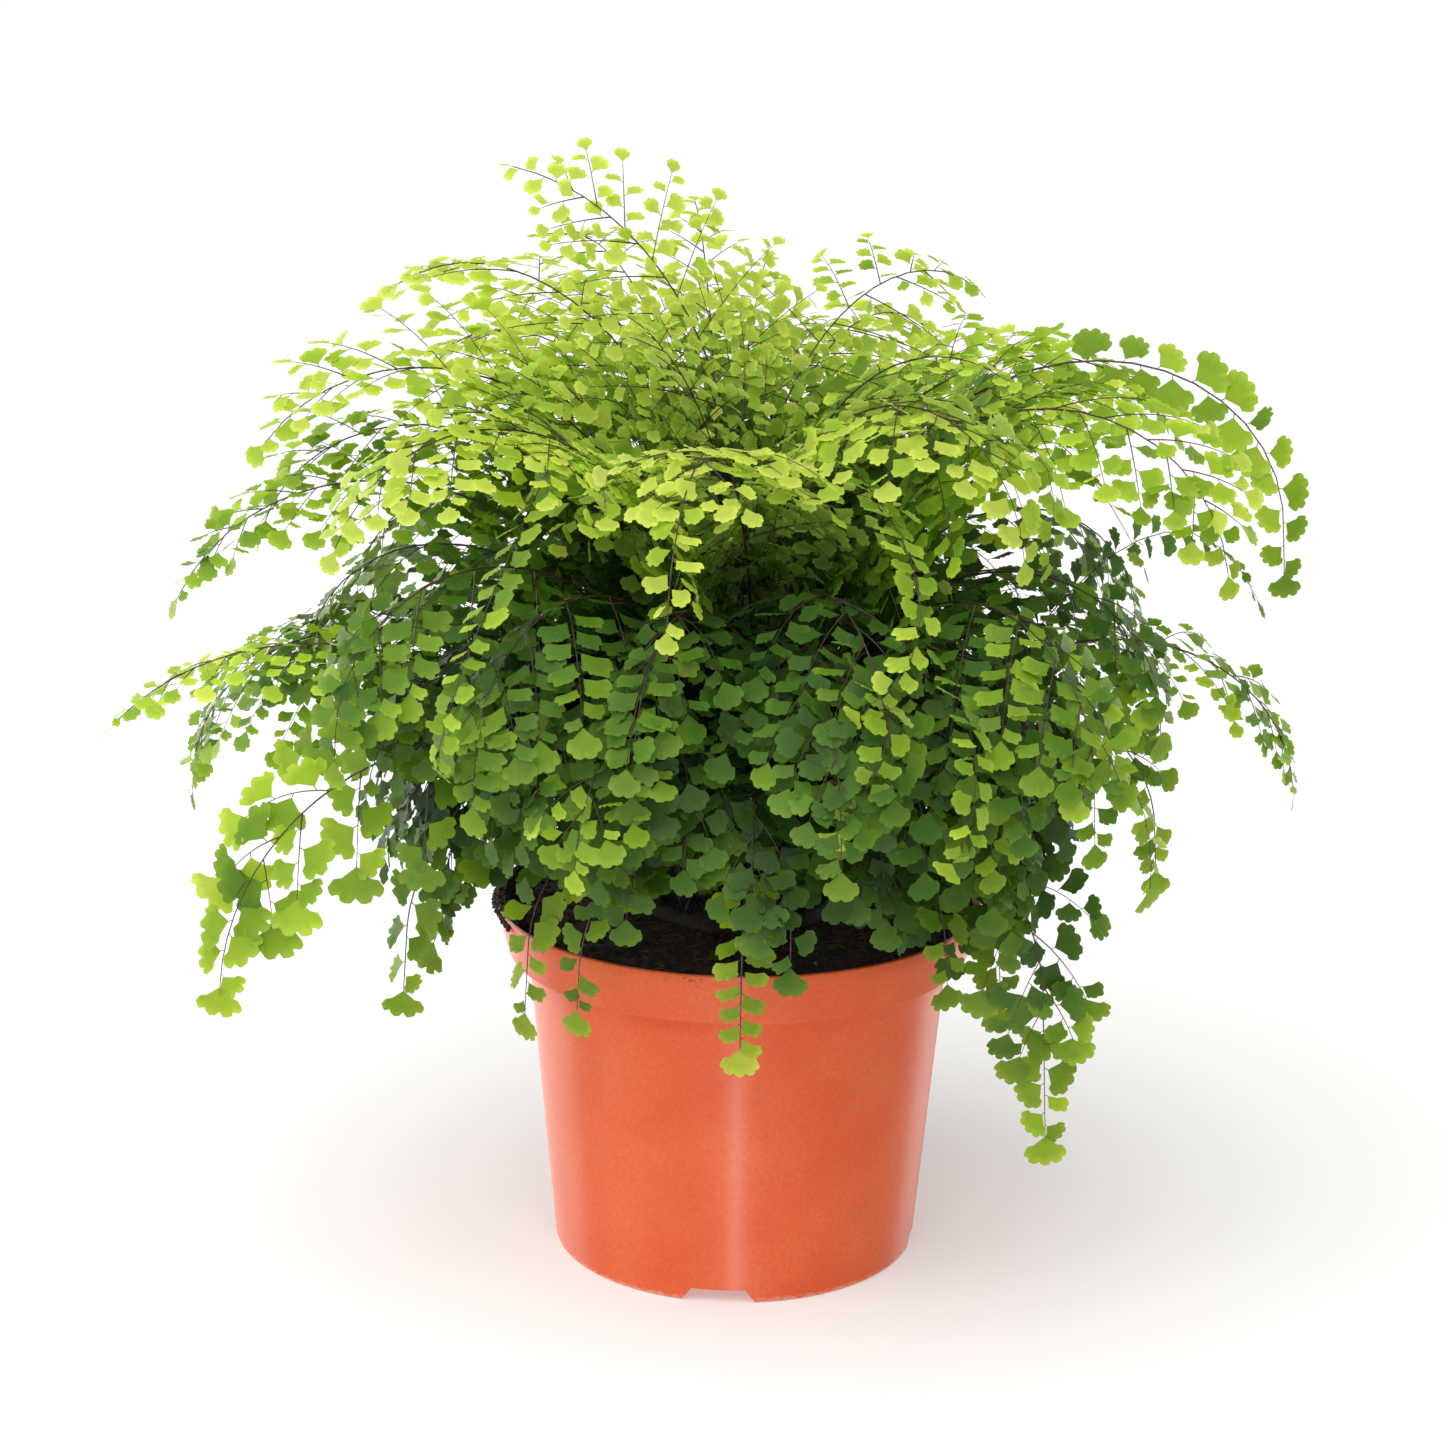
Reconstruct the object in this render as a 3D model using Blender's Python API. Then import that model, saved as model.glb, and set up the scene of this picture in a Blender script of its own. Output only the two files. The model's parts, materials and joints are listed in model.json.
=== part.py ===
"""A potted maidenhair fern: a moulded nursery pot, its soil, the rhizome and one solid for each frond.

Metres, +Z up. The pot's axis is Z and it stands on the XY plane. A frond's turn is its heading about Z,
with 0 along +X and -90 towards -Y.
"""

import math
import random

import bmesh
import bpy
import numpy as np
from mathutils import Vector, kdtree

# Pot
POT_HEIGHT = 0.1415
RIM_RADIUS = 0.095
RIM_FOOT_RADIUS = 0.0900
RIM_BAND = 0.0205
BODY_TOP_RADIUS = 0.0823
BASE_RADIUS = 0.0713
WALL = 0.0018
FLOOR_LIFT = 0.0062
BASE_ROUND = 0.0018
SEGMENTS = 64
NOTCH_COUNT = 4
NOTCH_TURN = -94.6
NOTCH_WIDE = 0.028
NOTCH_NARROW = 0.021
NOTCH_HEIGHT = 0.0058
DRAIN_COUNT = 8
DRAIN_RADIUS = 0.004
DRAIN_CIRCLE = 0.046
DRAIN_SIDES = 16

# What stands in the pot
GAP = 0.0003
SOIL_EDGE = 0.1372
SOIL_CENTRE = 0.1398
SOIL_FLAT_RADIUS = 0.050
SOIL_RINGS = 6
SOIL_ROUGHNESS = 0.0036
SOIL_WAVES = ((5, 90), (9, -140))
RHIZOME_RADIUS = 0.043
RHIZOME_HEIGHT = 0.0062
RHIZOME_FLAT = 0.90
RHIZOME_SHOULDER = (0.98, 0.6)
RHIZOME_LOBES = ((3, 0.05, 0), (7, 0.03, 1))
RHIZOME_SEGMENTS = 40

# Fronds
SEED = 7
STIPE = 0.34
STEM_WIDTH = 0.0016
STEM_THICKNESS = 0.0009
PINNA_WIDTH = 0.0034
PINNA_PAIRS = 4
STIPE_STEPS = 3
SAMPLE = 0.0015
CURVE_STEPS = 96
STEM_CLEARANCE = 0.0031
PINNA_CLEARANCE = 0.0043
SHORTEST_PINNA = 0.008
FOOT_LIFT = 0.0006
ROOT_RADIUS = 0.013
ROOT_SPREAD = 0.0006
ROOT_SWIRL = 35
STEEPEST_FALL = 86
PINNA_SPACING = 1.25
PINNA_LEAST = 0.009
PINNA_TAPER = 0.8
PINNA_SPREAD = 66
PINNA_CLOSING = 24
BOUGH_STEPS = 16
SAG_REACH = 0.07
SAG_LATENESS = 1.3
BEND_SPARE = 1.2
NUDGE = 2
NUDGES = 41

# lateness of the droop, blade width over its length, sag of the pinnae
FAMILIES = {
    "spire": (2.7, 0.20, 0.25),
    "crest": (2.2, 0.30, 0.45),
    "flank": (1.8, 0.30, 0.60),
    "curtain": (2.0, 0.34, 0.90),
    "trailer": (1.3, 0.10, 0.90),
}

# Fronds placed one by one: family, turn, rise at the root, droop to the tip, length, twist of the blade
PLACED = [
    ("spire", 167, 96, 86, 0.315, 50),
    ("spire", 41, 94, 128, 0.308, -35),
    ("spire", 227, 92, 62, 0.250, 0),
    ("spire", 80, 90, 70, 0.260, 0),
    ("spire", 98, 90, 72, 0.285, 0),
    ("spire", 319, 93, 119, 0.285, 0),
    ("crest", 150, 94, 135, 0.340, 10),
    ("crest", 193, 88, 141, 0.326, 25),
    ("crest", 183, 85, 157, 0.310, 20),
    ("crest", 215, 87, 154, 0.318, 10),
    ("crest", 12, 90, 150, 0.322, -20),
    ("crest", -7, 86, 193, 0.385, -45),
    ("crest", -30, 86, 168, 0.345, -25),
    ("crest", -101, 90, 173, 0.325, 0),
    ("crest", -48, 98, 180, 0.323, -10),
    ("crest", 118, 91, 107, 0.318, 0),
    ("crest", 74, 85, 113, 0.285, 0),
    ("flank", 190, 81, 144, 0.314, 25),
    ("flank", 196, 57, 100, 0.264, 10),
    ("flank", 176, 63, 156, 0.271, 25),
    ("flank", 1, 59, 145, 0.264, -20),
    ("flank", -20, 67, 177, 0.219, -35),
    ("flank", -116, 74, 158, 0.212, 0),
    ("flank", -58, 73, 158, 0.198, 0),
    ("trailer", 209, 63, 148, 0.270, 35),
    ("trailer", 206, 68, 181, 0.195, 20),
    ("trailer", 235, 64, 167, 0.15, 0),
    ("trailer", -96, 70, 195, 0.172, 0),
    ("trailer", -61, 68, 162, 0.158, 0),
    ("trailer", -49, 57, 206, 0.216, -30),
    ("trailer", -43, 69, 196, 0.166, -15),
    ("trailer", 224, 69, 190, 0.165, 10),
    ("curtain", -108, 85, 184, 0.254, 0),
    ("curtain", -80, 83, 187, 0.228, 0),
    ("curtain", -51, 77, 192, 0.292, -10),
    ("curtain", -128, 82, 190, 0.275, 10),
    ("curtain", -87, 89, 169, 0.215, 0),
    ("curtain", -26, 81, 175, 0.266, -15),
    ("curtain", 216, 79, 176, 0.292, 15),
]

# Fronds spread over a sector: family, count, first and last turn, rise, droop, length
SECTORS = [
    ("crest", 3, 50, 140, 89, 138, 0.310),
    ("curtain", 8, 0, 180, 82, 172, 0.264),
    ("flank", 7, 30, 150, 66, 158, 0.202),
]

# How far a sector's fronds vary either way from its rule, in degrees or as a share of the length
VARY_TURN = 5
VARY_RISE = 4
VARY_DROOP = 10
VARY_TWIST = 15
VARY_SWAY = 14
VARY_LENGTH = 0.06

POT_COLOUR = "#e8683f"
SOIL_COLOUR = "#241712"
RHIZOME_COLOUR = "#3a2a1c"
FAMILY_COLOURS = {
    "spire": "#a8cc3a",
    "crest": "#8dbd38",
    "flank": "#5f9c33",
    "curtain": "#4c8a2c",
    "trailer": "#41802a",
}

LEDGE = POT_HEIGHT - RIM_BAND
FLOOR_TOP = FLOOR_LIFT + WALL
FOOT_RING = 0.0042
RHIZOME_FOOT = SOIL_CENTRE + GAP
RHIZOME_TOP = RHIZOME_FOOT + RHIZOME_HEIGHT


def linear(hex_colour):
    """An sRGB hex colour as linear RGBA."""
    channels = [int(hex_colour[i : i + 2], 16) / 255 for i in (1, 3, 5)]
    return [c / 12.92 if c <= 0.04045 else ((c + 0.055) / 1.055) ** 2.4 for c in channels] + [1.0]


def finish(name, hex_colour, roughness):
    """A plain non-metallic Principled material."""
    material = bpy.data.materials.new(name)
    material.use_nodes = True
    shader = material.node_tree.nodes["Principled BSDF"]
    shader.inputs["Base Color"].default_value = linear(hex_colour)
    shader.inputs["Roughness"].default_value = roughness
    shader.inputs["Metallic"].default_value = 0.0
    return material


def add_object(name, bm, material=None):
    """Link a bmesh to the scene as one object, with its faces pointing outwards."""
    bmesh.ops.recalc_face_normals(bm, faces=bm.faces)
    mesh = bpy.data.meshes.new(name)
    bm.to_mesh(mesh)
    bm.free()
    thing = bpy.data.objects.new(name, mesh)
    bpy.context.scene.collection.objects.link(thing)
    if material:
        mesh.materials.append(material)
    return thing


def shade_round(thing, angle=35):
    """Smooth shading that keeps the edges sharper than the angle."""
    thing.data.shade_smooth()
    thing.data.set_sharp_from_angle(angle=math.radians(angle))


def turned(profile, segments, shape=lambda radius, z, turn: (radius, z)):
    """Revolve a profile that starts and ends on the axis. shape may move a point by its turn."""
    bm = bmesh.new()
    rings = []
    for radius, z in profile:
        if radius == 0:
            rings.append([bm.verts.new((0, 0, z))] * segments)
            continue
        ring = []
        for i in range(segments):
            turn = 2 * math.pi * i / segments
            r, h = shape(radius, z, turn)
            ring.append(bm.verts.new((r * math.cos(turn), r * math.sin(turn), h)))
        rings.append(ring)
    for upper, lower in zip(rings, rings[1:]):
        for i in range(segments):
            j = (i + 1) % segments
            corners = dict.fromkeys((upper[i], lower[i], lower[j], upper[j]))
            bm.faces.new(list(corners))
    return bm


def body_radius(z):
    """Outer radius of the pot's tapered body."""
    return BASE_RADIUS + (BODY_TOP_RADIUS - BASE_RADIUS) * z / LEDGE


def rim_inner_radius(z):
    """Inner radius of the rim band."""
    taper = (RIM_RADIUS - RIM_FOOT_RADIUS) / RIM_BAND
    return RIM_FOOT_RADIUS - WALL + taper * (z - LEDGE)


def pot_profile():
    """The pot's section, from the middle of its floor up the inside and down the outside."""
    lip = 0.0005
    inside = [
        (0, FLOOR_TOP),
        (body_radius(FLOOR_TOP) - WALL, FLOOR_TOP),
        (body_radius(LEDGE) - WALL, LEDGE + WALL),
        (rim_inner_radius(LEDGE + WALL), LEDGE + WALL),
        (rim_inner_radius(POT_HEIGHT - lip), POT_HEIGHT - lip),
        (rim_inner_radius(POT_HEIGHT) + lip, POT_HEIGHT),
    ]
    outside = [
        (RIM_RADIUS - lip, POT_HEIGHT),
        (RIM_RADIUS, POT_HEIGHT - lip),
        (RIM_FOOT_RADIUS, LEDGE + lip),
        (RIM_FOOT_RADIUS - lip, LEDGE),
        (BODY_TOP_RADIUS, LEDGE),
    ]
    foot = []
    for step in range(4):
        a = math.radians(30 * step)
        inset = BASE_ROUND * (1 - math.cos(a))
        foot.append((body_radius(BASE_ROUND) - inset, BASE_ROUND * (1 - math.sin(a))))
    underside = [
        (BASE_RADIUS - FOOT_RING, 0),
        (BASE_RADIUS - FOOT_RING, FLOOR_LIFT),
        (0, FLOOR_LIFT),
    ]
    return inside + outside + foot + underside


def add_notch_cutter(bm, turn):
    """A trapezoid block across the foot ring, wider at the floor."""
    along = Vector((math.cos(turn), math.sin(turn), 0))
    across = Vector((-along.y, along.x, 0))
    below = 0.004
    widen = (NOTCH_WIDE - NOTCH_NARROW) / NOTCH_HEIGHT
    outline = [
        (-(NOTCH_WIDE + widen * below) / 2, -below),
        ((NOTCH_WIDE + widen * below) / 2, -below),
        (NOTCH_NARROW / 2, NOTCH_HEIGHT),
        (-NOTCH_NARROW / 2, NOTCH_HEIGHT),
    ]
    ends = []
    for reach in (BASE_RADIUS - 3 * FOOT_RING, BASE_RADIUS + FOOT_RING):
        ends.append([bm.verts.new(along * reach + across * x + Vector((0, 0, z))) for x, z in outline])
    bm.faces.new(ends[0])
    bm.faces.new(ends[1])
    for i in range(4):
        j = (i + 1) % 4
        bm.faces.new((ends[0][i], ends[0][j], ends[1][j], ends[1][i]))


def add_drain_cutter(bm, turn):
    """A short cylinder through the floor."""
    made = bmesh.ops.create_cone(
        bm, cap_ends=True, segments=DRAIN_SIDES, radius1=DRAIN_RADIUS, radius2=DRAIN_RADIUS, depth=3 * WALL
    )
    centre = Vector((DRAIN_CIRCLE * math.cos(turn), DRAIN_CIRCLE * math.sin(turn), FLOOR_LIFT + WALL / 2))
    bmesh.ops.translate(bm, verts=made["verts"], vec=centre)


def build_pot():
    """The moulded pot, with notches through its foot ring and drain holes in its floor."""
    pot = add_object("pot", turned(pot_profile(), SEGMENTS), finish("terracotta_plastic", POT_COLOUR, 0.42))
    bm = bmesh.new()
    for i in range(NOTCH_COUNT):
        add_notch_cutter(bm, math.radians(NOTCH_TURN + 360 / NOTCH_COUNT * i))
    for i in range(DRAIN_COUNT):
        add_drain_cutter(bm, math.radians(NOTCH_TURN + 360 / DRAIN_COUNT * (i + 0.5)))
    cutter = add_object("pot_cutter", bm)
    cutter.hide_render = True
    cutter.display_type = "WIRE"
    cut = pot.modifiers.new("notches_and_drains", "BOOLEAN")
    cut.object = cutter
    cut.operation = "DIFFERENCE"
    shade_round(pot)


def soil_surface(radius, turn):
    """Height of the soil: level in the middle, falling to the rim with a crumbled unevenness."""
    outer = rim_inner_radius(SOIL_EDGE) - GAP
    fall = max(0.0, (radius - SOIL_FLAT_RADIUS) / (outer - SOIL_FLAT_RADIUS))
    crumble = SOIL_ROUGHNESS * fall * (1 - fall)
    for around, outward in SOIL_WAVES:
        crumble *= math.sin(around * turn + outward * radius)
    return SOIL_CENTRE + (SOIL_EDGE - SOIL_CENTRE) * fall + crumble


def build_soil():
    """The soil that fills the pot, a gap's width inside its walls."""
    outer = rim_inner_radius(SOIL_EDGE) - GAP
    top = [(0, SOIL_CENTRE), (SOIL_FLAT_RADIUS / 2, SOIL_CENTRE)]
    for i in range(SOIL_RINGS):
        top.append((SOIL_FLAT_RADIUS + (outer - SOIL_FLAT_RADIUS) * i / (SOIL_RINGS - 1), SOIL_EDGE))
    shelf = LEDGE + WALL + GAP
    side = [
        (rim_inner_radius(shelf) - GAP, shelf),
        (body_radius(LEDGE) - WALL - GAP, shelf),
        (body_radius(FLOOR_TOP) - WALL - GAP, FLOOR_TOP + GAP),
        (0, FLOOR_TOP + GAP),
    ]

    def crumbled(radius, z, turn):
        return (radius, soil_surface(radius, turn)) if z == SOIL_EDGE else (radius, z)

    soil = add_object("soil", turned(top + side, SEGMENTS, crumbled), finish("peat_soil", SOIL_COLOUR, 0.95))
    shade_round(soil)


def build_rhizome():
    """The low rootstock that all the fronds rise from: a flat-topped, lobed mound on the soil."""
    out, up = RHIZOME_SHOULDER
    profile = [
        (0, RHIZOME_TOP),
        (RHIZOME_FLAT * RHIZOME_RADIUS, RHIZOME_TOP),
        (out * RHIZOME_RADIUS, RHIZOME_FOOT + up * RHIZOME_HEIGHT),
        (RHIZOME_RADIUS, RHIZOME_FOOT),
        (0, RHIZOME_FOOT),
    ]

    def lobed(radius, z, turn):
        swell = sum(depth * math.sin(count * turn + phase) for count, depth, phase in RHIZOME_LOBES)
        return radius * (1 + swell), z

    body = turned(profile, RHIZOME_SEGMENTS, lobed)
    shade_round(add_object("rhizome", body, finish("rootstock", RHIZOME_COLOUR, 0.85)))


def unit(vector):
    """The vector at length 1."""
    return vector / np.linalg.norm(vector)


def heading(turn, rise):
    """Unit vector for a turn about Z and a rise above the horizontal, in radians."""
    level = math.cos(rise)
    return np.array([level * math.cos(turn), level * math.sin(turn), math.sin(rise)])


def plan_fronds():
    """Every frond's numbers: those placed one by one, then the sectors with a seeded variation."""
    rng = random.Random(SEED)
    fronds = []
    for family, *numbers in PLACED:
        fronds.append(dict(zip(("turn", "rise", "droop", "length", "twist"), numbers), family=family, sway=0))
    for family, count, first, last, rise, droop, length in SECTORS:
        for i in range(count):
            fronds.append(
                dict(
                    family=family,
                    turn=first + (last - first) * i / (count - 1) + rng.uniform(-VARY_TURN, VARY_TURN),
                    rise=rise + rng.uniform(-VARY_RISE, VARY_RISE),
                    droop=droop + rng.uniform(-VARY_DROOP, VARY_DROOP),
                    length=length * rng.uniform(1 - VARY_LENGTH, 1 + VARY_LENGTH),
                    twist=rng.uniform(-VARY_TWIST, VARY_TWIST),
                    sway=rng.uniform(-VARY_SWAY, VARY_SWAY),
                )
            )
    return fronds


def stem_curve(frond):
    """Points and directions along a frond's stem: it rises from the rhizome and arches over."""
    late = FAMILIES[frond["family"]][0]
    turn = math.radians(frond["turn"])
    root = ROOT_RADIUS + ROOT_SPREAD * (90 - frond["rise"])
    swirl = turn + math.radians(ROOT_SWIRL)
    point = np.array([root * math.cos(swirl), root * math.sin(swirl), RHIZOME_TOP + FOOT_LIFT])
    points, directions = [point], []
    for i in range(CURVE_STEPS):
        t = (i + 0.5) / CURVE_STEPS
        rise = max(-STEEPEST_FALL, frond["rise"] - frond["droop"] * t**late)
        direction = heading(turn + math.radians(frond["sway"]) * t * t, math.radians(rise))
        directions.append(direction)
        point = point + direction * frond["length"] / CURVE_STEPS
        points.append(point)
    directions.append(directions[-1])
    return np.array(points), np.array(directions)


def settle_turns(fronds):
    """Nudge each frond about the pot's axis until its stem is clear of the stems before it."""
    taken = np.empty((0, 3))
    for frond in fronds:
        first = frond["turn"]
        for step in range(NUDGES):
            frond["turn"] = first + NUDGE * ((step + 1) // 2) * (-1) ** step
            points = stem_curve(frond)[0]
            apart = np.linalg.norm(points[:, None] - taken[None], axis=2)
            if not apart.size or apart.min() > STEM_CLEARANCE:
                break
        else:
            raise ValueError("no room for a stem")
        taken = np.concatenate([taken, points])


def frame_at(frond, curve, t):
    """Point, direction, sideways and upper-face vectors of the blade at a fraction of the stem."""
    points, directions = curve
    place = min(max(t, 0.0), 1.0) * CURVE_STEPS
    i = min(int(place), CURVE_STEPS - 1)
    part = place - i
    point = points[i] * (1 - part) + points[i + 1] * part
    ahead = unit(directions[i] * (1 - part) + directions[i + 1] * part)
    turn = math.radians(frond["turn"])
    level = np.array([math.sin(turn), -math.cos(turn), 0.0])
    face = unit(np.cross(level, ahead))
    side = unit(np.cross(ahead, face))
    twist = math.radians(frond["twist"]) * min(1.0, t / STIPE)
    return (
        point,
        ahead,
        side * math.cos(twist) + face * math.sin(twist),
        face * math.cos(twist) - side * math.sin(twist),
    )


def bough(point, direction, length, sag):
    """The root, middle and tip of a side branch that sags more towards its tip."""
    points = [point]
    for i in range(BOUGH_STEPS):
        t = (i + 0.5) / BOUGH_STEPS
        ahead = unit(direction - np.array([0.0, 0.0, sag * length / SAG_REACH * t**SAG_LATENESS]))
        points.append(points[-1] + ahead * length / BOUGH_STEPS)
    return points[0], points[BOUGH_STEPS // 2], points[-1]


def sampled(corners):
    """Points at even short steps along the straight runs between corners."""
    points = []
    for start, end in zip(corners, corners[1:]):
        count = max(1, round(np.linalg.norm(end - start) / SAMPLE))
        points += [start + (end - start) * i / count for i in range(count)]
    return points + [corners[-1]]


def pinna_root(pair):
    """How far along the stem, and along the blade, a pair of side branches leaves."""
    along = (pair + 0.35) / PINNA_PAIRS
    return STIPE + (1 - STIPE) * (1 - (1 - along) ** PINNA_SPACING), along


def pinna_path(frond, curve, pair, hand):
    """The full path of one side branch. hand is 1 or -1 for the two sides of the stem."""
    width, sag = FAMILIES[frond["family"]][1:]
    t, along = pinna_root(pair)
    point, ahead, side, face = frame_at(frond, curve, t + PINNA_WIDTH / 2 / frond["length"])
    blade = frond["length"] * (1 - STIPE)
    length = width * blade * (1 - along) ** PINNA_TAPER + PINNA_LEAST
    spread = math.radians(PINNA_SPREAD - PINNA_CLOSING * along)
    start = math.cos(spread) * ahead + hand * math.sin(spread) * side
    return bough(point + hand * side * STEM_WIDTH / 2, unit(start), length, sag), face


class Neighbours:
    """Points already taken by stems and side branches, each with its owner's name."""

    def __init__(self):
        self.points = []
        self.owners = []

    def add(self, points, owner):
        """Take these points for one frond."""
        self.points += [tuple(p) for p in points]
        self.owners += [owner] * len(points)

    def sort(self):
        """Index all the points taken so far."""
        self.tree = kdtree.KDTree(len(self.points))
        for i, point in enumerate(self.points):
            self.tree.insert(point, i)
        self.tree.balance()

    def blocked(self, point, own):
        """True where another stem or branch, or the pot, is too near."""
        radius = math.hypot(point[0], point[1])
        if radius < RIM_RADIUS + PINNA_CLEARANCE and point[2] < POT_HEIGHT + PINNA_CLEARANCE:
            return True
        return any(self.owners[i] != own for _, i, _ in self.tree.find_range(point, PINNA_CLEARANCE))


def clear_reach(neighbours, own, points):
    """How many of a branch's points, from its root on, are clear of everything but its own frond."""
    for count, point in enumerate(points):
        if neighbours.blocked(point, own):
            return count
    return len(points)


def add_pinna(bm, roots, corners, reach, face):
    """Extrude a side branch from one edge of the stem: a strip through its bend, ending in a point."""
    root, bend, _ = corners
    points = sampled(corners)
    tip = points[reach - 1]
    if np.linalg.norm(tip - root) < BEND_SPARE * np.linalg.norm(bend - root):
        bend = points[reach // 2]
    across = unit(np.cross(face, bend - root))
    if across @ np.array(roots[1].co - roots[0].co) < 0:
        across = -across
    low = bm.verts.new(bend - across * PINNA_WIDTH / 2)
    high = bm.verts.new(bend + across * PINNA_WIDTH / 2)
    bm.faces.new((roots[0], roots[1], high, low))
    bm.faces.new((low, high, bm.verts.new(tip)))


def stations_of(frond):
    """Fractions of the stem where its strip has an edge across, and the first of each branch's two."""
    stations = [STIPE * i / STIPE_STEPS for i in range(STIPE_STEPS)]
    roots = []
    for pair in range(PINNA_PAIRS):
        start = pinna_root(pair)[0]
        end = start + PINNA_WIDTH / frond["length"]
        following = pinna_root(pair + 1)[0] if pair + 1 < PINNA_PAIRS else 1.0
        roots.append(len(stations))
        stations += [start, end, (end + following) / 2]
    return stations + [1.0], roots


def frond_sheet(frond, curve, name, neighbours):
    """The frond as one thin sheet: its stem's strip and the side branches that have room."""
    stations, roots = stations_of(frond)
    bm = bmesh.new()
    edges = {1: [], -1: []}
    for t in stations:
        point, _, side, _ = frame_at(frond, curve, t)
        for hand in edges:
            edges[hand].append(bm.verts.new(point + hand * side * STEM_WIDTH / 2))
    for i in range(len(stations) - 1):
        bm.faces.new((edges[-1][i], edges[1][i], edges[1][i + 1], edges[-1][i + 1]))
    for pair, first in enumerate(roots):
        for hand in edges:
            corners, face = pinna_path(frond, curve, pair, hand)
            points = sampled(corners)
            reach = clear_reach(neighbours, name, points)
            if reach * SAMPLE < SHORTEST_PINNA:
                continue
            add_pinna(bm, edges[hand][first : first + 2], corners, reach, face)
            neighbours.add(points[:reach], name)
    return bm


def build_fronds():
    """One solid for each frond, standing on the rhizome and clear of every other."""
    fronds = plan_fronds()
    settle_turns(fronds)
    finishes = {family: finish("frond_" + family, colour, 0.5) for family, colour in FAMILY_COLOURS.items()}
    curves = [stem_curve(frond) for frond in fronds]
    names = [f"frond_{i + 1:02d}" for i in range(len(fronds))]
    neighbours = Neighbours()
    for name, curve in zip(names, curves):
        neighbours.add(curve[0], name)
    for name, frond, curve in zip(names, fronds, curves):
        neighbours.sort()
        sheet = frond_sheet(frond, curve, name, neighbours)
        thing = add_object(name, sheet, finishes[frond["family"]])
        thicken = thing.modifiers.new("thickness", "SOLIDIFY")
        thicken.thickness = STEM_THICKNESS
        thicken.offset = 0


def main():
    """Clear the scene and build every piece."""
    for thing in list(bpy.data.objects):
        bpy.data.objects.remove(thing)
    build_pot()
    build_soil()
    build_rhizome()
    build_fronds()


main()
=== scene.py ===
"""Potted maidenhair fern: the looks of the fronds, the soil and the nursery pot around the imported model.

Metres, +Z up. The pot's axis is Z and the pot stands on the XY plane. A frond's turn is its heading about Z,
with 0 along +X and -90 towards -Y, the front. Unless a name or a comment says otherwise, angles are in degrees.
"""

import json
import math
import random
from collections import namedtuple

import bmesh
import bpy
import numpy as np
from bpy.props import FloatProperty, FloatVectorProperty, IntProperty, PointerProperty
from mathutils import Matrix, Vector, noise

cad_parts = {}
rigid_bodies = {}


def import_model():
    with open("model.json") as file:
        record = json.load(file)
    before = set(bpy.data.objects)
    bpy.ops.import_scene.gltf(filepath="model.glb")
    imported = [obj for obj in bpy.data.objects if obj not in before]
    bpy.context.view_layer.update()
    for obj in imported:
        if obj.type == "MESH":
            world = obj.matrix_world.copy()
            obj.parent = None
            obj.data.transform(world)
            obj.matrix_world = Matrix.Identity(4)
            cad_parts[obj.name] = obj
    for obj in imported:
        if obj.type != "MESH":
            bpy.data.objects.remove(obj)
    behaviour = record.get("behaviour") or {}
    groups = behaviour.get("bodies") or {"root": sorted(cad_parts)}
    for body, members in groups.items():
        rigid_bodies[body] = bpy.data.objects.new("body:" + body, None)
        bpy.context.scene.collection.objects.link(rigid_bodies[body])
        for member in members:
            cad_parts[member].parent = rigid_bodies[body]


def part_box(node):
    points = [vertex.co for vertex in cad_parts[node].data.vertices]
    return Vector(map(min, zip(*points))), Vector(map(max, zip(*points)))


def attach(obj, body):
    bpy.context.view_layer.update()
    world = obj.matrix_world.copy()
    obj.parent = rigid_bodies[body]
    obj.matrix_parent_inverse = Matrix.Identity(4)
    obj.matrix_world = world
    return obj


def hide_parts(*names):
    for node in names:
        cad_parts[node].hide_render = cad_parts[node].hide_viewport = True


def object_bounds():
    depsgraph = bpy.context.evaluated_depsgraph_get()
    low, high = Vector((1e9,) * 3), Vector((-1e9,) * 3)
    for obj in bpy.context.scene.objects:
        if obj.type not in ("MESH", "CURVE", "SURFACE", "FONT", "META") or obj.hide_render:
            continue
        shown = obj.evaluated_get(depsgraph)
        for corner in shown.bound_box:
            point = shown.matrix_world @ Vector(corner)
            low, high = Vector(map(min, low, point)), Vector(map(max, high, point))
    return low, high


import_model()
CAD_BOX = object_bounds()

bl_info = {
    "name": "Potted Maidenhair Fern",
    "version": (1, 0, 0),
    "blender": (4, 5, 0),
    "location": "3D View > Sidebar > Fern",
    "description": "Builds a maidenhair fern in its nursery pot around the packed model",
    "category": "Add Mesh",
}

RIM_RADIUS, _, POT_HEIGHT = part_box("pot")[1]
SOIL_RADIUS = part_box("soil")[1][0]
RHIZOME_FOOT, RHIZOME_TOP = (corner[2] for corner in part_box("rhizome"))
FROND_TOP = CAD_BOX[1][2]
BODY = "root"

# The fronds' rule, as the CAD fronds follow it: bare share of a stem, how its foot stands on the rootstock, and
# the step by which a frond is turned until its stem clears the others
SEED = 7
STIPE = 0.34
CURVE_STEPS = 96
STEEPEST_FALL = 86
FOOT_LIFT = 0.0006
ROOT_RADIUS, ROOT_SPREAD, ROOT_SWIRL = 0.013, 0.0006, 35
STEM_CLEARANCE = 0.0031
NUDGE, NUDGES = 2, 41

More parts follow.
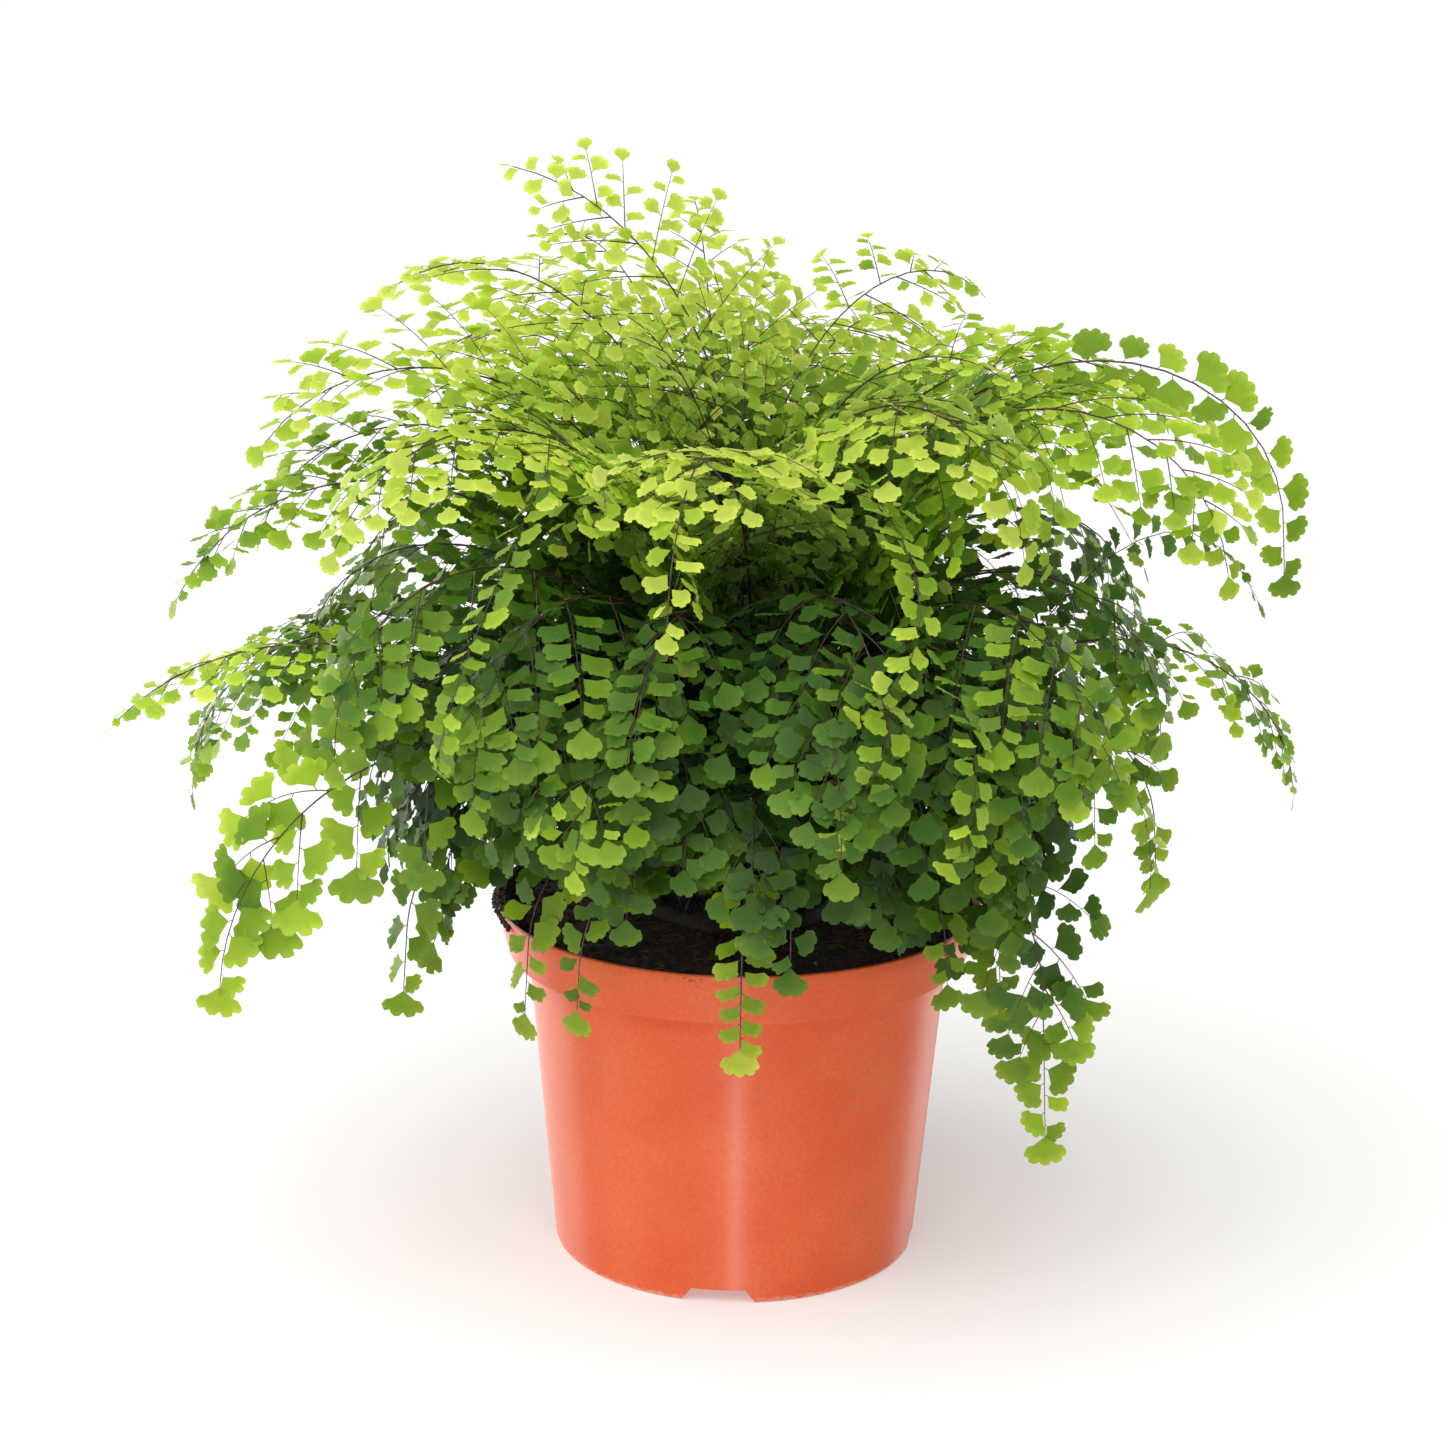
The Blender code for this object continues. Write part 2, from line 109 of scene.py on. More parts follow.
# For each kind of frond: lateness of its droop, blade width over its length and how fast that tapers, sag of the
# side branches and how far they start downwards, the share of the stem after which leaflets stand on the stem
# itself, leaflet length in mm, gap between leaflets over that, tone, how far a face turns up to the light, and
# the leaflet shapes at the sides and at the tips
# The curtain and inner fronds, which hang under the crown, have a low tone for their older leaves and as painted shade
FAMILIES = {
    "spire": dict(
        late=2.7, width=0.28, taper=0.9, sag=0.40, fall=0.00, direct=0.93, leaf=8.0, gap=0.50, tone=0.88, lift=0.5,
        sides=("fan", "wing"), end="fan", end_size=0.70,
    ),
    "crest": dict(
        late=2.2, width=0.42, taper=1.0, sag=0.75, fall=0.10, direct=0.93, leaf=9.6, gap=0.42, tone=0.72, lift=0.4,
        sides=("wing", "fan"), end="fan", end_size=0.85,
    ),
    "flank": dict(
        late=1.8, width=0.40, taper=1.0, sag=1.10, fall=0.12, direct=0.92, leaf=9.4, gap=0.40, tone=0.50, lift=0.35,
        sides=("wing", "wing", "fan"), end="fan",
    ),
    "curtain": dict(
        late=2.0, width=0.42, taper=1.0, sag=2.00, fall=0.30, direct=0.90, leaf=11.4, gap=0.40, tone=0.27, lift=0.2,
        sides=("wing",), end="fan", twigs=False,
    ),
    "trailer": dict(
        late=1.3, width=0.22, taper=1.3, sag=1.30, fall=0.20, direct=0.60, leaf=10.8, gap=0.40, tone=0.42, lift=0.15,
        sides=("wing", "broad"), end="broad",
    ),
    "inner": dict(
        late=1.6, width=0.36, taper=0.9, sag=1.90, fall=0.30, direct=0.90, leaf=10.8, gap=0.40, tone=0.25, lift=0.25,
        sides=("wing", "wing", "fan"), end="fan", twigs=False,
    ),
}
# Fronds placed one by one: family, turn, rise at the root, droop to the tip, length, twist of the blade
PLACED = [
    ("spire", 167, 96, 86, 0.315, 50),
    ("spire", 41, 94, 128, 0.308, -35),
    ("spire", 227, 92, 62, 0.250, 0),
    ("spire", 80, 90, 70, 0.260, 0),
    ("spire", 98, 90, 72, 0.285, 0),
    ("spire", 319, 93, 119, 0.285, 0),
    ("crest", 150, 94, 135, 0.340, 10),
    ("crest", 193, 88, 141, 0.326, 25),
    ("crest", 183, 85, 157, 0.310, 20),
    ("crest", 215, 87, 154, 0.318, 10),
    ("crest", 12, 90, 150, 0.322, -20),
    ("crest", -7, 86, 193, 0.385, -45),
    ("crest", -30, 86, 168, 0.345, -25),
    ("crest", -101, 90, 173, 0.325, 0),
    ("crest", -48, 98, 180, 0.323, -10),
    ("crest", 118, 91, 107, 0.318, 0),
    ("crest", 74, 85, 113, 0.285, 0),
    ("flank", 190, 81, 144, 0.314, 25),
    ("flank", 196, 57, 100, 0.264, 10),
    ("flank", 176, 63, 156, 0.271, 25),
    ("flank", 1, 59, 145, 0.264, -20),
    ("flank", -20, 67, 177, 0.219, -35),
    ("flank", -116, 74, 158, 0.212, 0),
    ("flank", -58, 73, 158, 0.198, 0),
    ("trailer", 209, 63, 148, 0.270, 35),
    ("trailer", 206, 68, 181, 0.195, 20),
    ("trailer", 235, 64, 167, 0.15, 0),
    ("trailer", -96, 70, 195, 0.172, 0),
    ("trailer", -61, 68, 162, 0.158, 0),
    ("trailer", -49, 57, 206, 0.216, -30),
    ("trailer", -43, 69, 196, 0.166, -15),
    ("trailer", 224, 69, 190, 0.165, 10),
    ("curtain", -108, 85, 184, 0.254, 0),
    ("curtain", -80, 83, 187, 0.228, 0),
    ("curtain", -51, 77, 192, 0.292, -10),
    ("curtain", -128, 82, 190, 0.275, 10),
    ("curtain", -87, 89, 169, 0.215, 0),
    ("curtain", -26, 81, 175, 0.266, -15),
    ("curtain", 216, 79, 176, 0.292, 15),
]
# Fronds spread over a sector: family, count, first and last turn, rise, droop, length
SECTORS = [
    ("crest", 3, 50, 140, 89, 138, 0.310),
    ("curtain", 8, 0, 180, 82, 172, 0.264),
    ("flank", 7, 30, 150, 66, 158, 0.202),
]

# How far a frond varies either way: in degrees for its turn, rise and droop, as a share for its length
SECTOR_VARIES = (5, 4, 10, 0.06)
UNDER_VARIES = (9, 5, 10, 0.12)
VARY_TWIST, VARY_SWAY = 15, 14

# Fronds that stand out from their family, by number
SINGLED = {
    1: dict(leaf=8.0, tone=0.94, width=0.30, bare=0.50),
    2: dict(bare=0.66, width=0.20, fall=0.15, tone=0.66),
    3: dict(tone=0.78),
    4: dict(width=0.13, fall=0.1, tone=0.66),
    5: dict(width=0.20, bare=0.42, fall=0.1, tone=0.72),
    6: dict(width=0.12, fall=0.2, tone=0.70, gap=0.56),
    7: dict(tone=0.82, leaf=10.4, gap=0.50, width=0.36, lift=0.75, sag=0.6, fall=0.0),
    8: dict(tone=0.75, leaf=10.2, gap=0.45, width=0.38, lift=0.75, sag=0.5, fall=-0.12),
    9: dict(tone=0.50, leaf=9.8, gap=0.46, width=0.32, lift=0.75, sag=0.45, fall=0.0),
    10: dict(tone=0.74, leaf=9.8),
    11: dict(tone=0.54, sides=("broad", "fan", "wing"), width=0.36, lift=0.2, leaf=9.8),
    12: dict(
        leaf=9.6, tone=0.50, sides=("broad",), end="broad", width=0.14, taper=1.1, fall=0.3, direct=0.64, gap=0.36,
        lift=0.2, last=dict(leaf=12.5, lift=0.05, show=0.85),
    ),
    13: dict(tone=0.52, sides=("broad", "fan", "wing"), leaf=10.2, width=0.38, lift=0.2),
    14: dict(leaf=9.8, tone=0.90, width=0.34, direct=0.84),
    15: dict(leaf=10.6, tone=0.88, sides=("broad", "fan", "wing"), width=0.38, direct=0.88, lift=0.3),
    16: dict(tone=0.68, leaf=10.0, gap=0.50),
    17: dict(tone=0.54, leaf=10.0),
    18: dict(tone=0.44, leaf=8.4, width=0.22, lift=0.6, sag=0.5, fall=0.0),
    19: dict(leaf=7.5, tone=0.64, width=0.22, taper=1.3, lift=0.6),
    20: dict(tone=0.48, leaf=8.8),
    21: dict(tone=0.52, leaf=8.2, width=0.26),
    22: dict(tone=0.58, leaf=10.5, width=0.26, direct=0.80, lift=0.1),
    25: dict(
        leaf=13.5, tone=0.52, sides=("lobed",), end="lobed", width=0.20,
        taper=0.7, direct=0.84, gap=0.38, show=0.4,
    ),
    26: dict(leaf=12.0, tone=0.42, sides=("lobed", "broad"), end="lobed", direct=0.70, show=0.3),
    27: dict(leaf=10.0, tone=0.40),
    28: dict(
        leaf=10.5, tone=0.62, sides=("wing",), direct=0.50, width=0.12, low=True,
        pair=((1, 0.905), (-1, 0.965)),
    ),
    30: dict(leaf=11.0, tone=0.42, direct=0.80, width=0.24, taper=0.7, gap=0.36, show=0.3),
    31: dict(leaf=11.0, tone=0.46, direct=0.76, width=0.28),
    32: dict(leaf=11.5, tone=0.56),
    33: dict(tone=0.30, width=0.34, direct=0.78),
    34: dict(tone=0.31, width=0.34, direct=0.78),
    35: dict(leaf=11.0, tone=0.40),
    36: dict(tone=0.36),
    38: dict(tone=0.48),
    39: dict(tone=0.38),
    43: dict(tone=0.44, lift=0.4, sag=1.0),
    44: dict(tone=0.38),
    49: dict(tone=0.42),
    50: dict(tone=0.52),
}
# Low fronds among the others' feet: count, first and last turn, rise, droop, length
UNDERGROWTH = [
    (13, -172, -8, 76, 168, 0.178),
    (11, -165, -15, 84, 176, 0.208),
    (8, -158, -22, 66, 170, 0.150),
    (14, 0, 180, 74, 164, 0.176),
    (9, -152, -28, 87, 171, 0.252),
]
UNDER_PIECES = 6

# Branches that hang in front of the rest: the frond and the share of its stem they leave from, the place they
# hang through and that of their tip in metres, leaflet length in mm, tone, and the leaflets' shapes
SPRIGS = [
    (15, 0.60, (0.0600, -0.146, 0.2990), (0.0412, -0.152, 0.2590), 10.5, 0.60, ("wing", "fan")),
    (34, 0.45, (0.0500, -0.148, 0.2600), (0.0347, -0.150, 0.2159), 10.5, 0.52, ("wing", "wing", "fan")),
    (35, 0.50, (0.0800, -0.146, 0.2450), (0.0741, -0.150, 0.2050), 10.5, 0.50, ("wing", "fan")),
    (10, 0.66, (-0.0950, -0.138, 0.2700), (-0.1040, -0.142, 0.2330), 9.5, 0.56, ("wing", "fan")),
    (22, 0.60, (0.1390, -0.090, 0.2200), (0.1491, -0.095, 0.1790), 11.0, 0.56, ("wing", "fan")),
    (21, 0.45, (0.1540, -0.015, 0.2910), (0.1910, -0.030, 0.2719), 9.0, 0.24, ("wing",)),
    (13, 0.66, (0.1180, -0.060, 0.3300), (0.1420, -0.075, 0.2960), 10.5, 0.44, ("broad", "wing")),
    (13, 0.50, (0.0980, -0.090, 0.3400), (0.1080, -0.098, 0.3000), 10.5, 0.50, ("broad", "wing")),
    (26, 0.62, (-0.1000, -0.060, 0.1780), (-0.1130, -0.064, 0.1440), 11.0, 0.42, ("lobed", "wing")),
]
SPRIG_LOOKS = dict(gap=0.44, lift=0.2, twigs=False, low=True)

# Room that a leaflet of each shape takes along its branch, over a wing's
ROOM = {"wing": 1.0, "fan": 1.3, "broad": 1.5, "lobed": 1.4}
# What a frond has unless its family or its own row says otherwise
USUAL = {"twigs": True, "bare": STIPE, "show": 0.0, "low": False, "last": {}, "pair": (), "end_size": 1.0}

# Stems' radii at the foot and the tip, and the steps along a stem, a side branch, a twig and a stem's last stretch
STEM_RADII, BOUGH_RADII, TWIG_RADII = (0.0008, 0.00018), (0.00027, 0.00012), (0.0002, 0.00012)
STEM_STEPS, BOUGH_STEPS, TWIG_STEPS, END_STEPS = 32, 7, 4, 12
# Side branches: gap over leaflet length, how they crowd towards the tip, spread at the foot and how far it closes,
# and how a long one sags
BOUGH_GAP, BOUGH_CROWDING = 1.0, 1.25
BOUGH_SPREAD, BOUGH_CLOSING = 66, 24
SAG_REACH, SAG_LATENESS = 0.07, 1.3
# A branch longer than this carries twigs over this share of it, each at most this share as long, with smaller leaflets
DIVIDED_LENGTH, DIVIDED_SHARE, TWIG_SHARE, TWIG_LEAF = 0.044, 0.46, 0.40, 0.92
LEAFLET_TILT, LEAFLET_MISSING, LEAFLET_CURLED = 0.27, 0.04, 0.2
PAIR_AHEAD, PAIR_SIZE = 0.5, 0.9
# Tone by place, which paints shade deep in the foliage along with its older leaves there: the foliage's half widths
# and its middle height, where it starts to open and over how far, and how much paler the open foliage is
OPEN_REACH, OPEN_CENTRE = (0.215, 0.165, 0.165), 0.215
OPEN_FROM, OPEN_OVER, OPEN_GAIN = 0.45, 0.5, 0.52
# Gaps between the lowest clusters through which the peat shows: from and to in X, and how fast they rise forwards
WINDOWS, WINDOW_SLOPE = [(-0.082, -0.062), (-0.038, -0.009), (0.022, 0.043)], 0.36
FRONT = np.array([0.0, -0.97, 0.24])
SKIN = 0.0015

# Leaflet outlines: angle from the leaflet's middle line in degrees and reach over its length, round the outer
# edge, then the number of lobes and the depth of the notches between them.
# A wing is straight on one side and lobed on the other, which faces the frond's tip.
FAN = [(-49, 0.54), (-40, 0.78), (-24, 0.95), (0, 1.0), (24, 0.95), (40, 0.78), (49, 0.54)], 4, 0.10
WING = [(-5, 0.80), (4, 1.0), (16, 1.06), (27, 1.03), (39, 0.86), (53, 0.68), (68, 0.55), (84, 0.42)], 4, 0.10
BROAD = [(-57, 0.56), (-49, 0.80), (-31, 0.97), (0, 1.0), (31, 0.97), (49, 0.80), (57, 0.56)], 5, 0.11
LOBED = [(-57, 0.62), (-50, 0.86), (-32, 1.0), (0, 0.98), (32, 1.0), (50, 0.86), (57, 0.62)], 4, 0.16
SHAPES = [
    ("fan", FAN, False, 0.12, 0.10, 0.03),
    ("wing", WING, False, 0.14, 0.06, 0.03),
    ("wing_back", WING, True, 0.14, 0.06, 0.03),
    ("broad", BROAD, False, 0.12, 0.10, 0.03),
    ("lobed", LOBED, False, 0.12, 0.12, 0.05),
    ("curled_wing", WING, False, 0.45, 0.22, 0.05),
    ("curled_wing_back", WING, True, 0.45, 0.22, 0.05),
]
KINDS = {shape[0]: kind for kind, shape in enumerate(SHAPES)}
# Stalk length and radius over the leaflet's length, and the inner row of points: how far out, how many, how spread
STALK, STALK_RADIUS = 0.12, 0.013
INNER_REACH, INNER_COUNT, INNER_NARROW = 0.45, 5, 0.84

# The pot's own sizes, as the CAD pot has them
RIM_FOOT_RADIUS, RIM_BAND = 0.0900, 0.0205
BODY_TOP_RADIUS, BASE_RADIUS, WALL = 0.0823, 0.0713, 0.0018
FLOOR_LIFT, FOOT_RING = 0.0062, 0.0042
LEDGE = POT_HEIGHT - RIM_BAND
FLOOR_TOP = FLOOR_LIFT + WALL
NOTCH_COUNT, NOTCH_TURN = 4, -94.6
NOTCH_WIDE, NOTCH_NARROW, NOTCH_HEIGHT, NOTCH_ROUND = 0.028, 0.021, 0.0058, 0.0012
DRAIN_COUNT, DRAIN_RADIUS, DRAIN_CIRCLE = 8, 0.004, 0.046

# The peat: its height in the middle and at the rim, the flat middle's radius, the gap to the pot, the turns between
# which it is spilt over the rim, its pale grains as x, y and radius, and its leaflets as x, y, length and turn
SOIL_TOP, SOIL_EDGE, SOIL_LEVEL, SOIL_GAP = 0.1398, 0.1372, 0.050, 0.0003
SPILL_FIRST, SPILL_LAST = 158, 204
GRAINS = [(-0.0231, 0.0121, 0.0016), (0.0610, -0.0600, 0.0009), (-0.0420, -0.0560, 0.0008), (0.0290, -0.0710, 0.0007)]
FALLEN = [(-0.0121, -0.0746, 0.0115, 75), (0.0420, -0.0590, 0.0080, 200), (0.0200, 0.0720, 0.0100, 30)]
MOUND_RADIUS = 0.043

CAMERA_PLACE, CAMERA_LENS = (0.0002, -1.3, 0.5812), 87.25
CAMERA_PITCH, CAMERA_YAW, CAMERA_ROLL = 15.89, -0.32, 0.69

NODE_FAMILIES = ("ShaderNode", "GeometryNode", "FunctionNode", "")


def linear(hex_colour):
    """An sRGB hex colour as linear RGBA."""
    channels = [int(hex_colour[i : i + 2], 16) / 255 for i in (1, 3, 5)]
    return [c / 12.92 if c <= 0.04045 else ((c + 0.055) / 1.055) ** 2.4 for c in channels] + [1.0]


def add(tree, kind, sockets=None, **settings):
    """Add a node with its settings. A socket takes a value, an output to link from, or a node for its own output."""
    made = tree.nodes.new(next(name for name in NODE_FAMILIES if hasattr(bpy.types, name + kind)) + kind)
    for name, value in settings.items():
        setattr(made, name, value)
    for key, value in (sockets or {}).items():
        if isinstance(value, bpy.types.Node):
            value = next(output for output in value.outputs if output.enabled)
        if isinstance(value, bpy.types.NodeSocket):
            tree.links.new(value, made.inputs[key])
        else:
            made.inputs[key].default_value = value
    return made


def ramp(tree, factor, *stops):
    """A colour ramp through stops: a position, and a colour as sRGB hex or linear RGBA."""
    made = add(tree, "ValToRGB", {"Fac": factor})
    elements = made.color_ramp.elements
    for place, (position, colour) in enumerate(stops):
        stop = elements[place] if place < 2 else elements.new(position)
        stop.position = position
        stop.color = linear(colour) if isinstance(colour, str) else colour
    return made


def new_material(name):
    """A material, its empty node tree and its Object coordinates."""
    material = bpy.data.materials.new(name)
    material.use_nodes = True
    tree = material.node_tree
    tree.nodes.clear()
    return material, tree, add(tree, "TexCoord").outputs["Object"]


def link(thing):
    """Put an object in the scene."""
    bpy.context.scene.collection.objects.link(thing)
    return thing


def seat(piece, node=None):
    """Put a finished piece on the part's body, in place of its CAD node if it has one."""
    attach(piece, BODY)
    if node:
        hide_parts(node)


def unit(vector):
    """The vector at length 1."""
    return vector / np.linalg.norm(vector)


def square(face, ahead):
    """The upper face made square to the direction ahead."""
    return unit(face - ahead * (face @ ahead))


def heading(turn, rise):
    """Unit vector for a turn about Z and a rise above the horizontal, in radians."""
    level = math.cos(rise)
    return np.array([level * math.cos(turn), level * math.sin(turn), math.sin(rise)])


def blend(rows, t):
    """The row at a fraction of the way through the rows."""
    place = min(max(t, 0.0), 1.0) * (len(rows) - 1)
    i = min(int(place), len(rows) - 2)
    part = place - i
    return rows[i] * (1 - part) + rows[i + 1] * part


def varied(rng, family, turn, rise, droop, length, by):
    """A frond's numbers, each varied at random."""
    return dict(
        family=family,
        turn=turn + rng.uniform(-by[0], by[0]),
        rise=rise + rng.uniform(-by[1], by[1]),
        droop=droop + rng.uniform(-by[2], by[2]),
        length=length * rng.uniform(1 - by[3], 1 + by[3]),
        twist=rng.uniform(-VARY_TWIST, VARY_TWIST),
        sway=rng.uniform(-VARY_SWAY, VARY_SWAY),
    )


def plan_fronds():
    """Every frond's numbers: those placed one by one, then the sectors with a seeded variation."""
    rng = random.Random(SEED)
    names = ("family", "turn", "rise", "droop", "length", "twist")
    fronds = [dict(zip(names, row), sway=0) for row in PLACED]
    for family, count, first, last, rise, droop, length in SECTORS:
        for i in range(count):
            turn = first + (last - first) * i / (count - 1)
            fronds.append(varied(rng, family, turn, rise, droop, length, SECTOR_VARIES))
    settle_turns(fronds)
    return fronds


def settle_turns(fronds):
    """Nudge each frond about the pot's axis until its stem is clear of the stems before it."""
    taken = np.empty((0, 3))
    for frond in fronds:
        first = frond["turn"]
        for step in range(NUDGES):
            frond["turn"] = first + NUDGE * ((step + 1) // 2) * (-1) ** step
            points = stem_curve(frond)[0]
            apart = np.linalg.norm(points[:, None] - taken[None], axis=2)
            if not apart.size or apart.min() > STEM_CLEARANCE:
                break
        else:
            raise ValueError("no room for a stem")
        taken = np.concatenate([taken, points])


def stem_curve(frond):
    """Points and directions along a frond's stem: it rises from the rootstock and arches over."""
    late = FAMILIES[frond["family"]]["late"]
    turn = math.radians(frond["turn"])
    root = ROOT_RADIUS + ROOT_SPREAD * (90 - frond["rise"])
    swirl = turn + math.radians(ROOT_SWIRL)
    points = [np.array([root * math.cos(swirl), root * math.sin(swirl), RHIZOME_TOP + FOOT_LIFT])]
    directions = []
    for i in range(CURVE_STEPS):
        t = (i + 0.5) / CURVE_STEPS
        rise = max(-STEEPEST_FALL, frond["rise"] - frond["droop"] * t**late)
        directions.append(heading(turn + math.radians(frond["sway"]) * t * t, math.radians(rise)))
        points.append(points[-1] + directions[-1] * frond["length"] / CURVE_STEPS)
    return np.array(points), np.array(directions + directions[-1:])


def frame_at(frond, curve, t):
    """Point, direction, sideways and upper-face vectors of the blade at a fraction of the stem."""
    point, ahead = blend(curve[0], t), unit(blend(curve[1], t))
    turn = math.radians(frond["turn"])
    face = unit(np.cross(np.array([math.sin(turn), -math.cos(turn), 0.0]), ahead))
    side = unit(np.cross(ahead, face))
    twist = math.radians(frond["twist"]) * min(1.0, t / STIPE)
    cos, sin = math.cos(twist), math.sin(twist)
    return point, ahead, side * cos + face * sin, face * cos - side * sin


def in_the_pot(point, snug=False):
    """True inside the circle of the pot's rim or a skin's thickness from it, or when snug its own outline."""
    slim = snug and point[2] <= LEDGE - SKIN
    reach = body_radius(max(0.0, point[2])) if slim else RIM_RADIUS
    return math.hypot(point[0], point[1]) < reach + SKIN and point[2] < POT_HEIGHT + SKIN


# A run of stem with its direction and upper face at each of its points
Bough = namedtuple("Bough", "points directions faces length")


def bough_at(bough, t):
    """Point, direction and upper face at a fraction of a bough's length."""
    return blend(bough.points, t), unit(blend(bough.directions, t)), unit(blend(bough.faces, t))


def sagging(point, direction, face, length, sag, steps):
    """A side branch that sags towards its tip."""
    points, directions, faces = [point], [], []
    for i in range(steps):
        t = (i + 0.5) / steps
        drop = sag * math.sqrt(length / SAG_REACH) * t**SAG_LATENESS
        directions.append(unit(direction - np.array([0.0, 0.0, drop])))
        face = square(face, directions[-1])
        faces.append(face)
        points.append(points[-1] + directions[-1] * length / steps)
    return Bough(points, directions + directions[-1:], faces + faces[-1:], length)


def stem_end(frond, curve, start):
    """The last stretch of a frond's stem."""
    rows = [frame_at(frond, curve, start + (1 - start) * i / END_STEPS) for i in range(END_STEPS + 1)]
    points, directions, _, faces = (list(row) for row in zip(*rows))
    return Bough(points, directions, faces, frond["length"] * (1 - start))


def hanging(start, middle, tip):
    """A branch on a smooth path from a stem through two places, with its upper face away from the pot's axis."""
    bend = 2 * middle - (start + tip) / 2

    def path(shares):
        return [(1 - t) ** 2 * start + 2 * t * (1 - t) * bend + t * t * tip for t in shares]

    fine = np.linspace(0, 1, 8 * END_STEPS + 1)
    run = np.concatenate(([0.0], np.cumsum(np.linalg.norm(np.diff(path(fine), axis=0), axis=1))))
    shares = np.interp(np.linspace(0, run[-1], END_STEPS + 1), run, fine)
    points = path(shares)
    directions = [unit((1 - t) * (bend - start) + t * (tip - bend)) for t in shares]
    faces = [square(np.array([x, y, 0.02]), ahead) for (x, y, _), ahead in zip(points, directions)]
    return Bough(points, directions, faces, float(run[-1]))


def height_share(z):
    """Height as a share of the foliage's own."""
    return (z - POT_HEIGHT) / (FROND_TOP - POT_HEIGHT)


def paler(point):
    """What a place adds to its leaflets' tone: more at the outside than deep in and most so in the crown, as painted
    shade deep in the foliage with its older leaves there.
    """
    wide, deep, high = OPEN_REACH
    out = math.sqrt((point[0] / wide) ** 2 + (point[1] / deep) ** 2 + ((point[2] - OPEN_CENTRE) / high) ** 2)
    openness = min(1.0, max(0.0, (out - OPEN_FROM) / OPEN_OVER))
    height = min(1.0, max(0.0, height_share(point[2])))
    return OPEN_GAIN * (0.5 + 0.7 * height) * (openness - 0.7)


def in_a_window(point):
    """True in a gap between the lowest clusters, through which the peat shows from the front."""
    x, y, z = point
    return y < 0 and z < SOIL_TOP + WINDOW_SLOPE * -y and any(a < x < b for a, b in WINDOWS)


class Skeleton:
    """A frond as a wire of stems and the loose points its leaflets stand on, with their attributes."""

    def __init__(self):
        self.points = []
        self.edges = []
        self.rows = {"thick": [], "size": [], "tone": [], "grain": []}
        self.kinds = []
        self.spins = []

    def put(self, point, thick=0.0, size=0.0, tone=0.0, grain=0.0, kind=0, spin=(1, 0, 0, 0)):
        """Add one point."""
        self.points.append(tuple(point))
        for name, value in zip(self.rows, (thick, size, tone, grain)):
            self.rows[name].append(value)
        self.kinds.append(kind)
        self.spins.append(tuple(spin))

    def stem(self, points, radii):
        """Add a run of stem that tapers from its foot's radius to its tip's."""
        (foot, tip), first, last = radii, len(self.points), len(points) - 1
        for i, point in enumerate(points):
            self.put(point, thick=foot + (tip - foot) * i / last)
        self.edges += [(first + i, first + i + 1) for i in range(last)]

    def stand(self, point, ahead, face, size, kind, tone, grain):
        """Add a leaflet that points ahead with its upper face towards face."""
        spin = Matrix((np.cross(ahead, face), ahead, face)).transposed().to_quaternion()
        self.put(point, size=size, tone=tone, grain=grain, kind=KINDS[kind], spin=spin)

    def leaflet(self, point, ahead, face, size, *rest):
        """Stand a leaflet clear of the pot: turned outwards along it, or left out where it can't be."""
        if in_the_pot(point + ahead * size, snug=True):
            out = unit(np.array([point[0], point[1], 0.0]))
            ahead = unit(ahead - out * min(0.0, ahead @ out - 0.1))
            face = square(face, ahead)
        if not in_the_pot(point + ahead * size, snug=True) and not in_the_pot(point, snug=True):
            self.stand(point, ahead, face, size, *rest)

    def object(self, name):
        """The skeleton as a mesh object."""
        mesh = bpy.data.meshes.new(name)
        mesh.from_pydata(self.points, self.edges, [])
        for row, values in self.rows.items():
            mesh.attributes.new(row, "FLOAT", "POINT").data.foreach_set("value", values)
        mesh.attributes.new("kind", "INT", "POINT").data.foreach_set("value", self.kinds)
        flat = [part for spin in self.spins for part in spin]
        mesh.attributes.new("spin", "QUATERNION", "POINT").data.foreach_set("value", flat)
        return link(bpy.data.objects.new(name, mesh))


def lit_face(face, ahead, lift, rng):
    """The leaflet's upper face: the branch's own, turned up towards the light and jittered."""
    turned_up = unit(face * (1 - lift) + np.array([0.0, 0.0, lift]))
    return square(unit(turned_up + np.array([rng.gauss(0, LEAFLET_TILT) for _ in range(3)])), ahead)


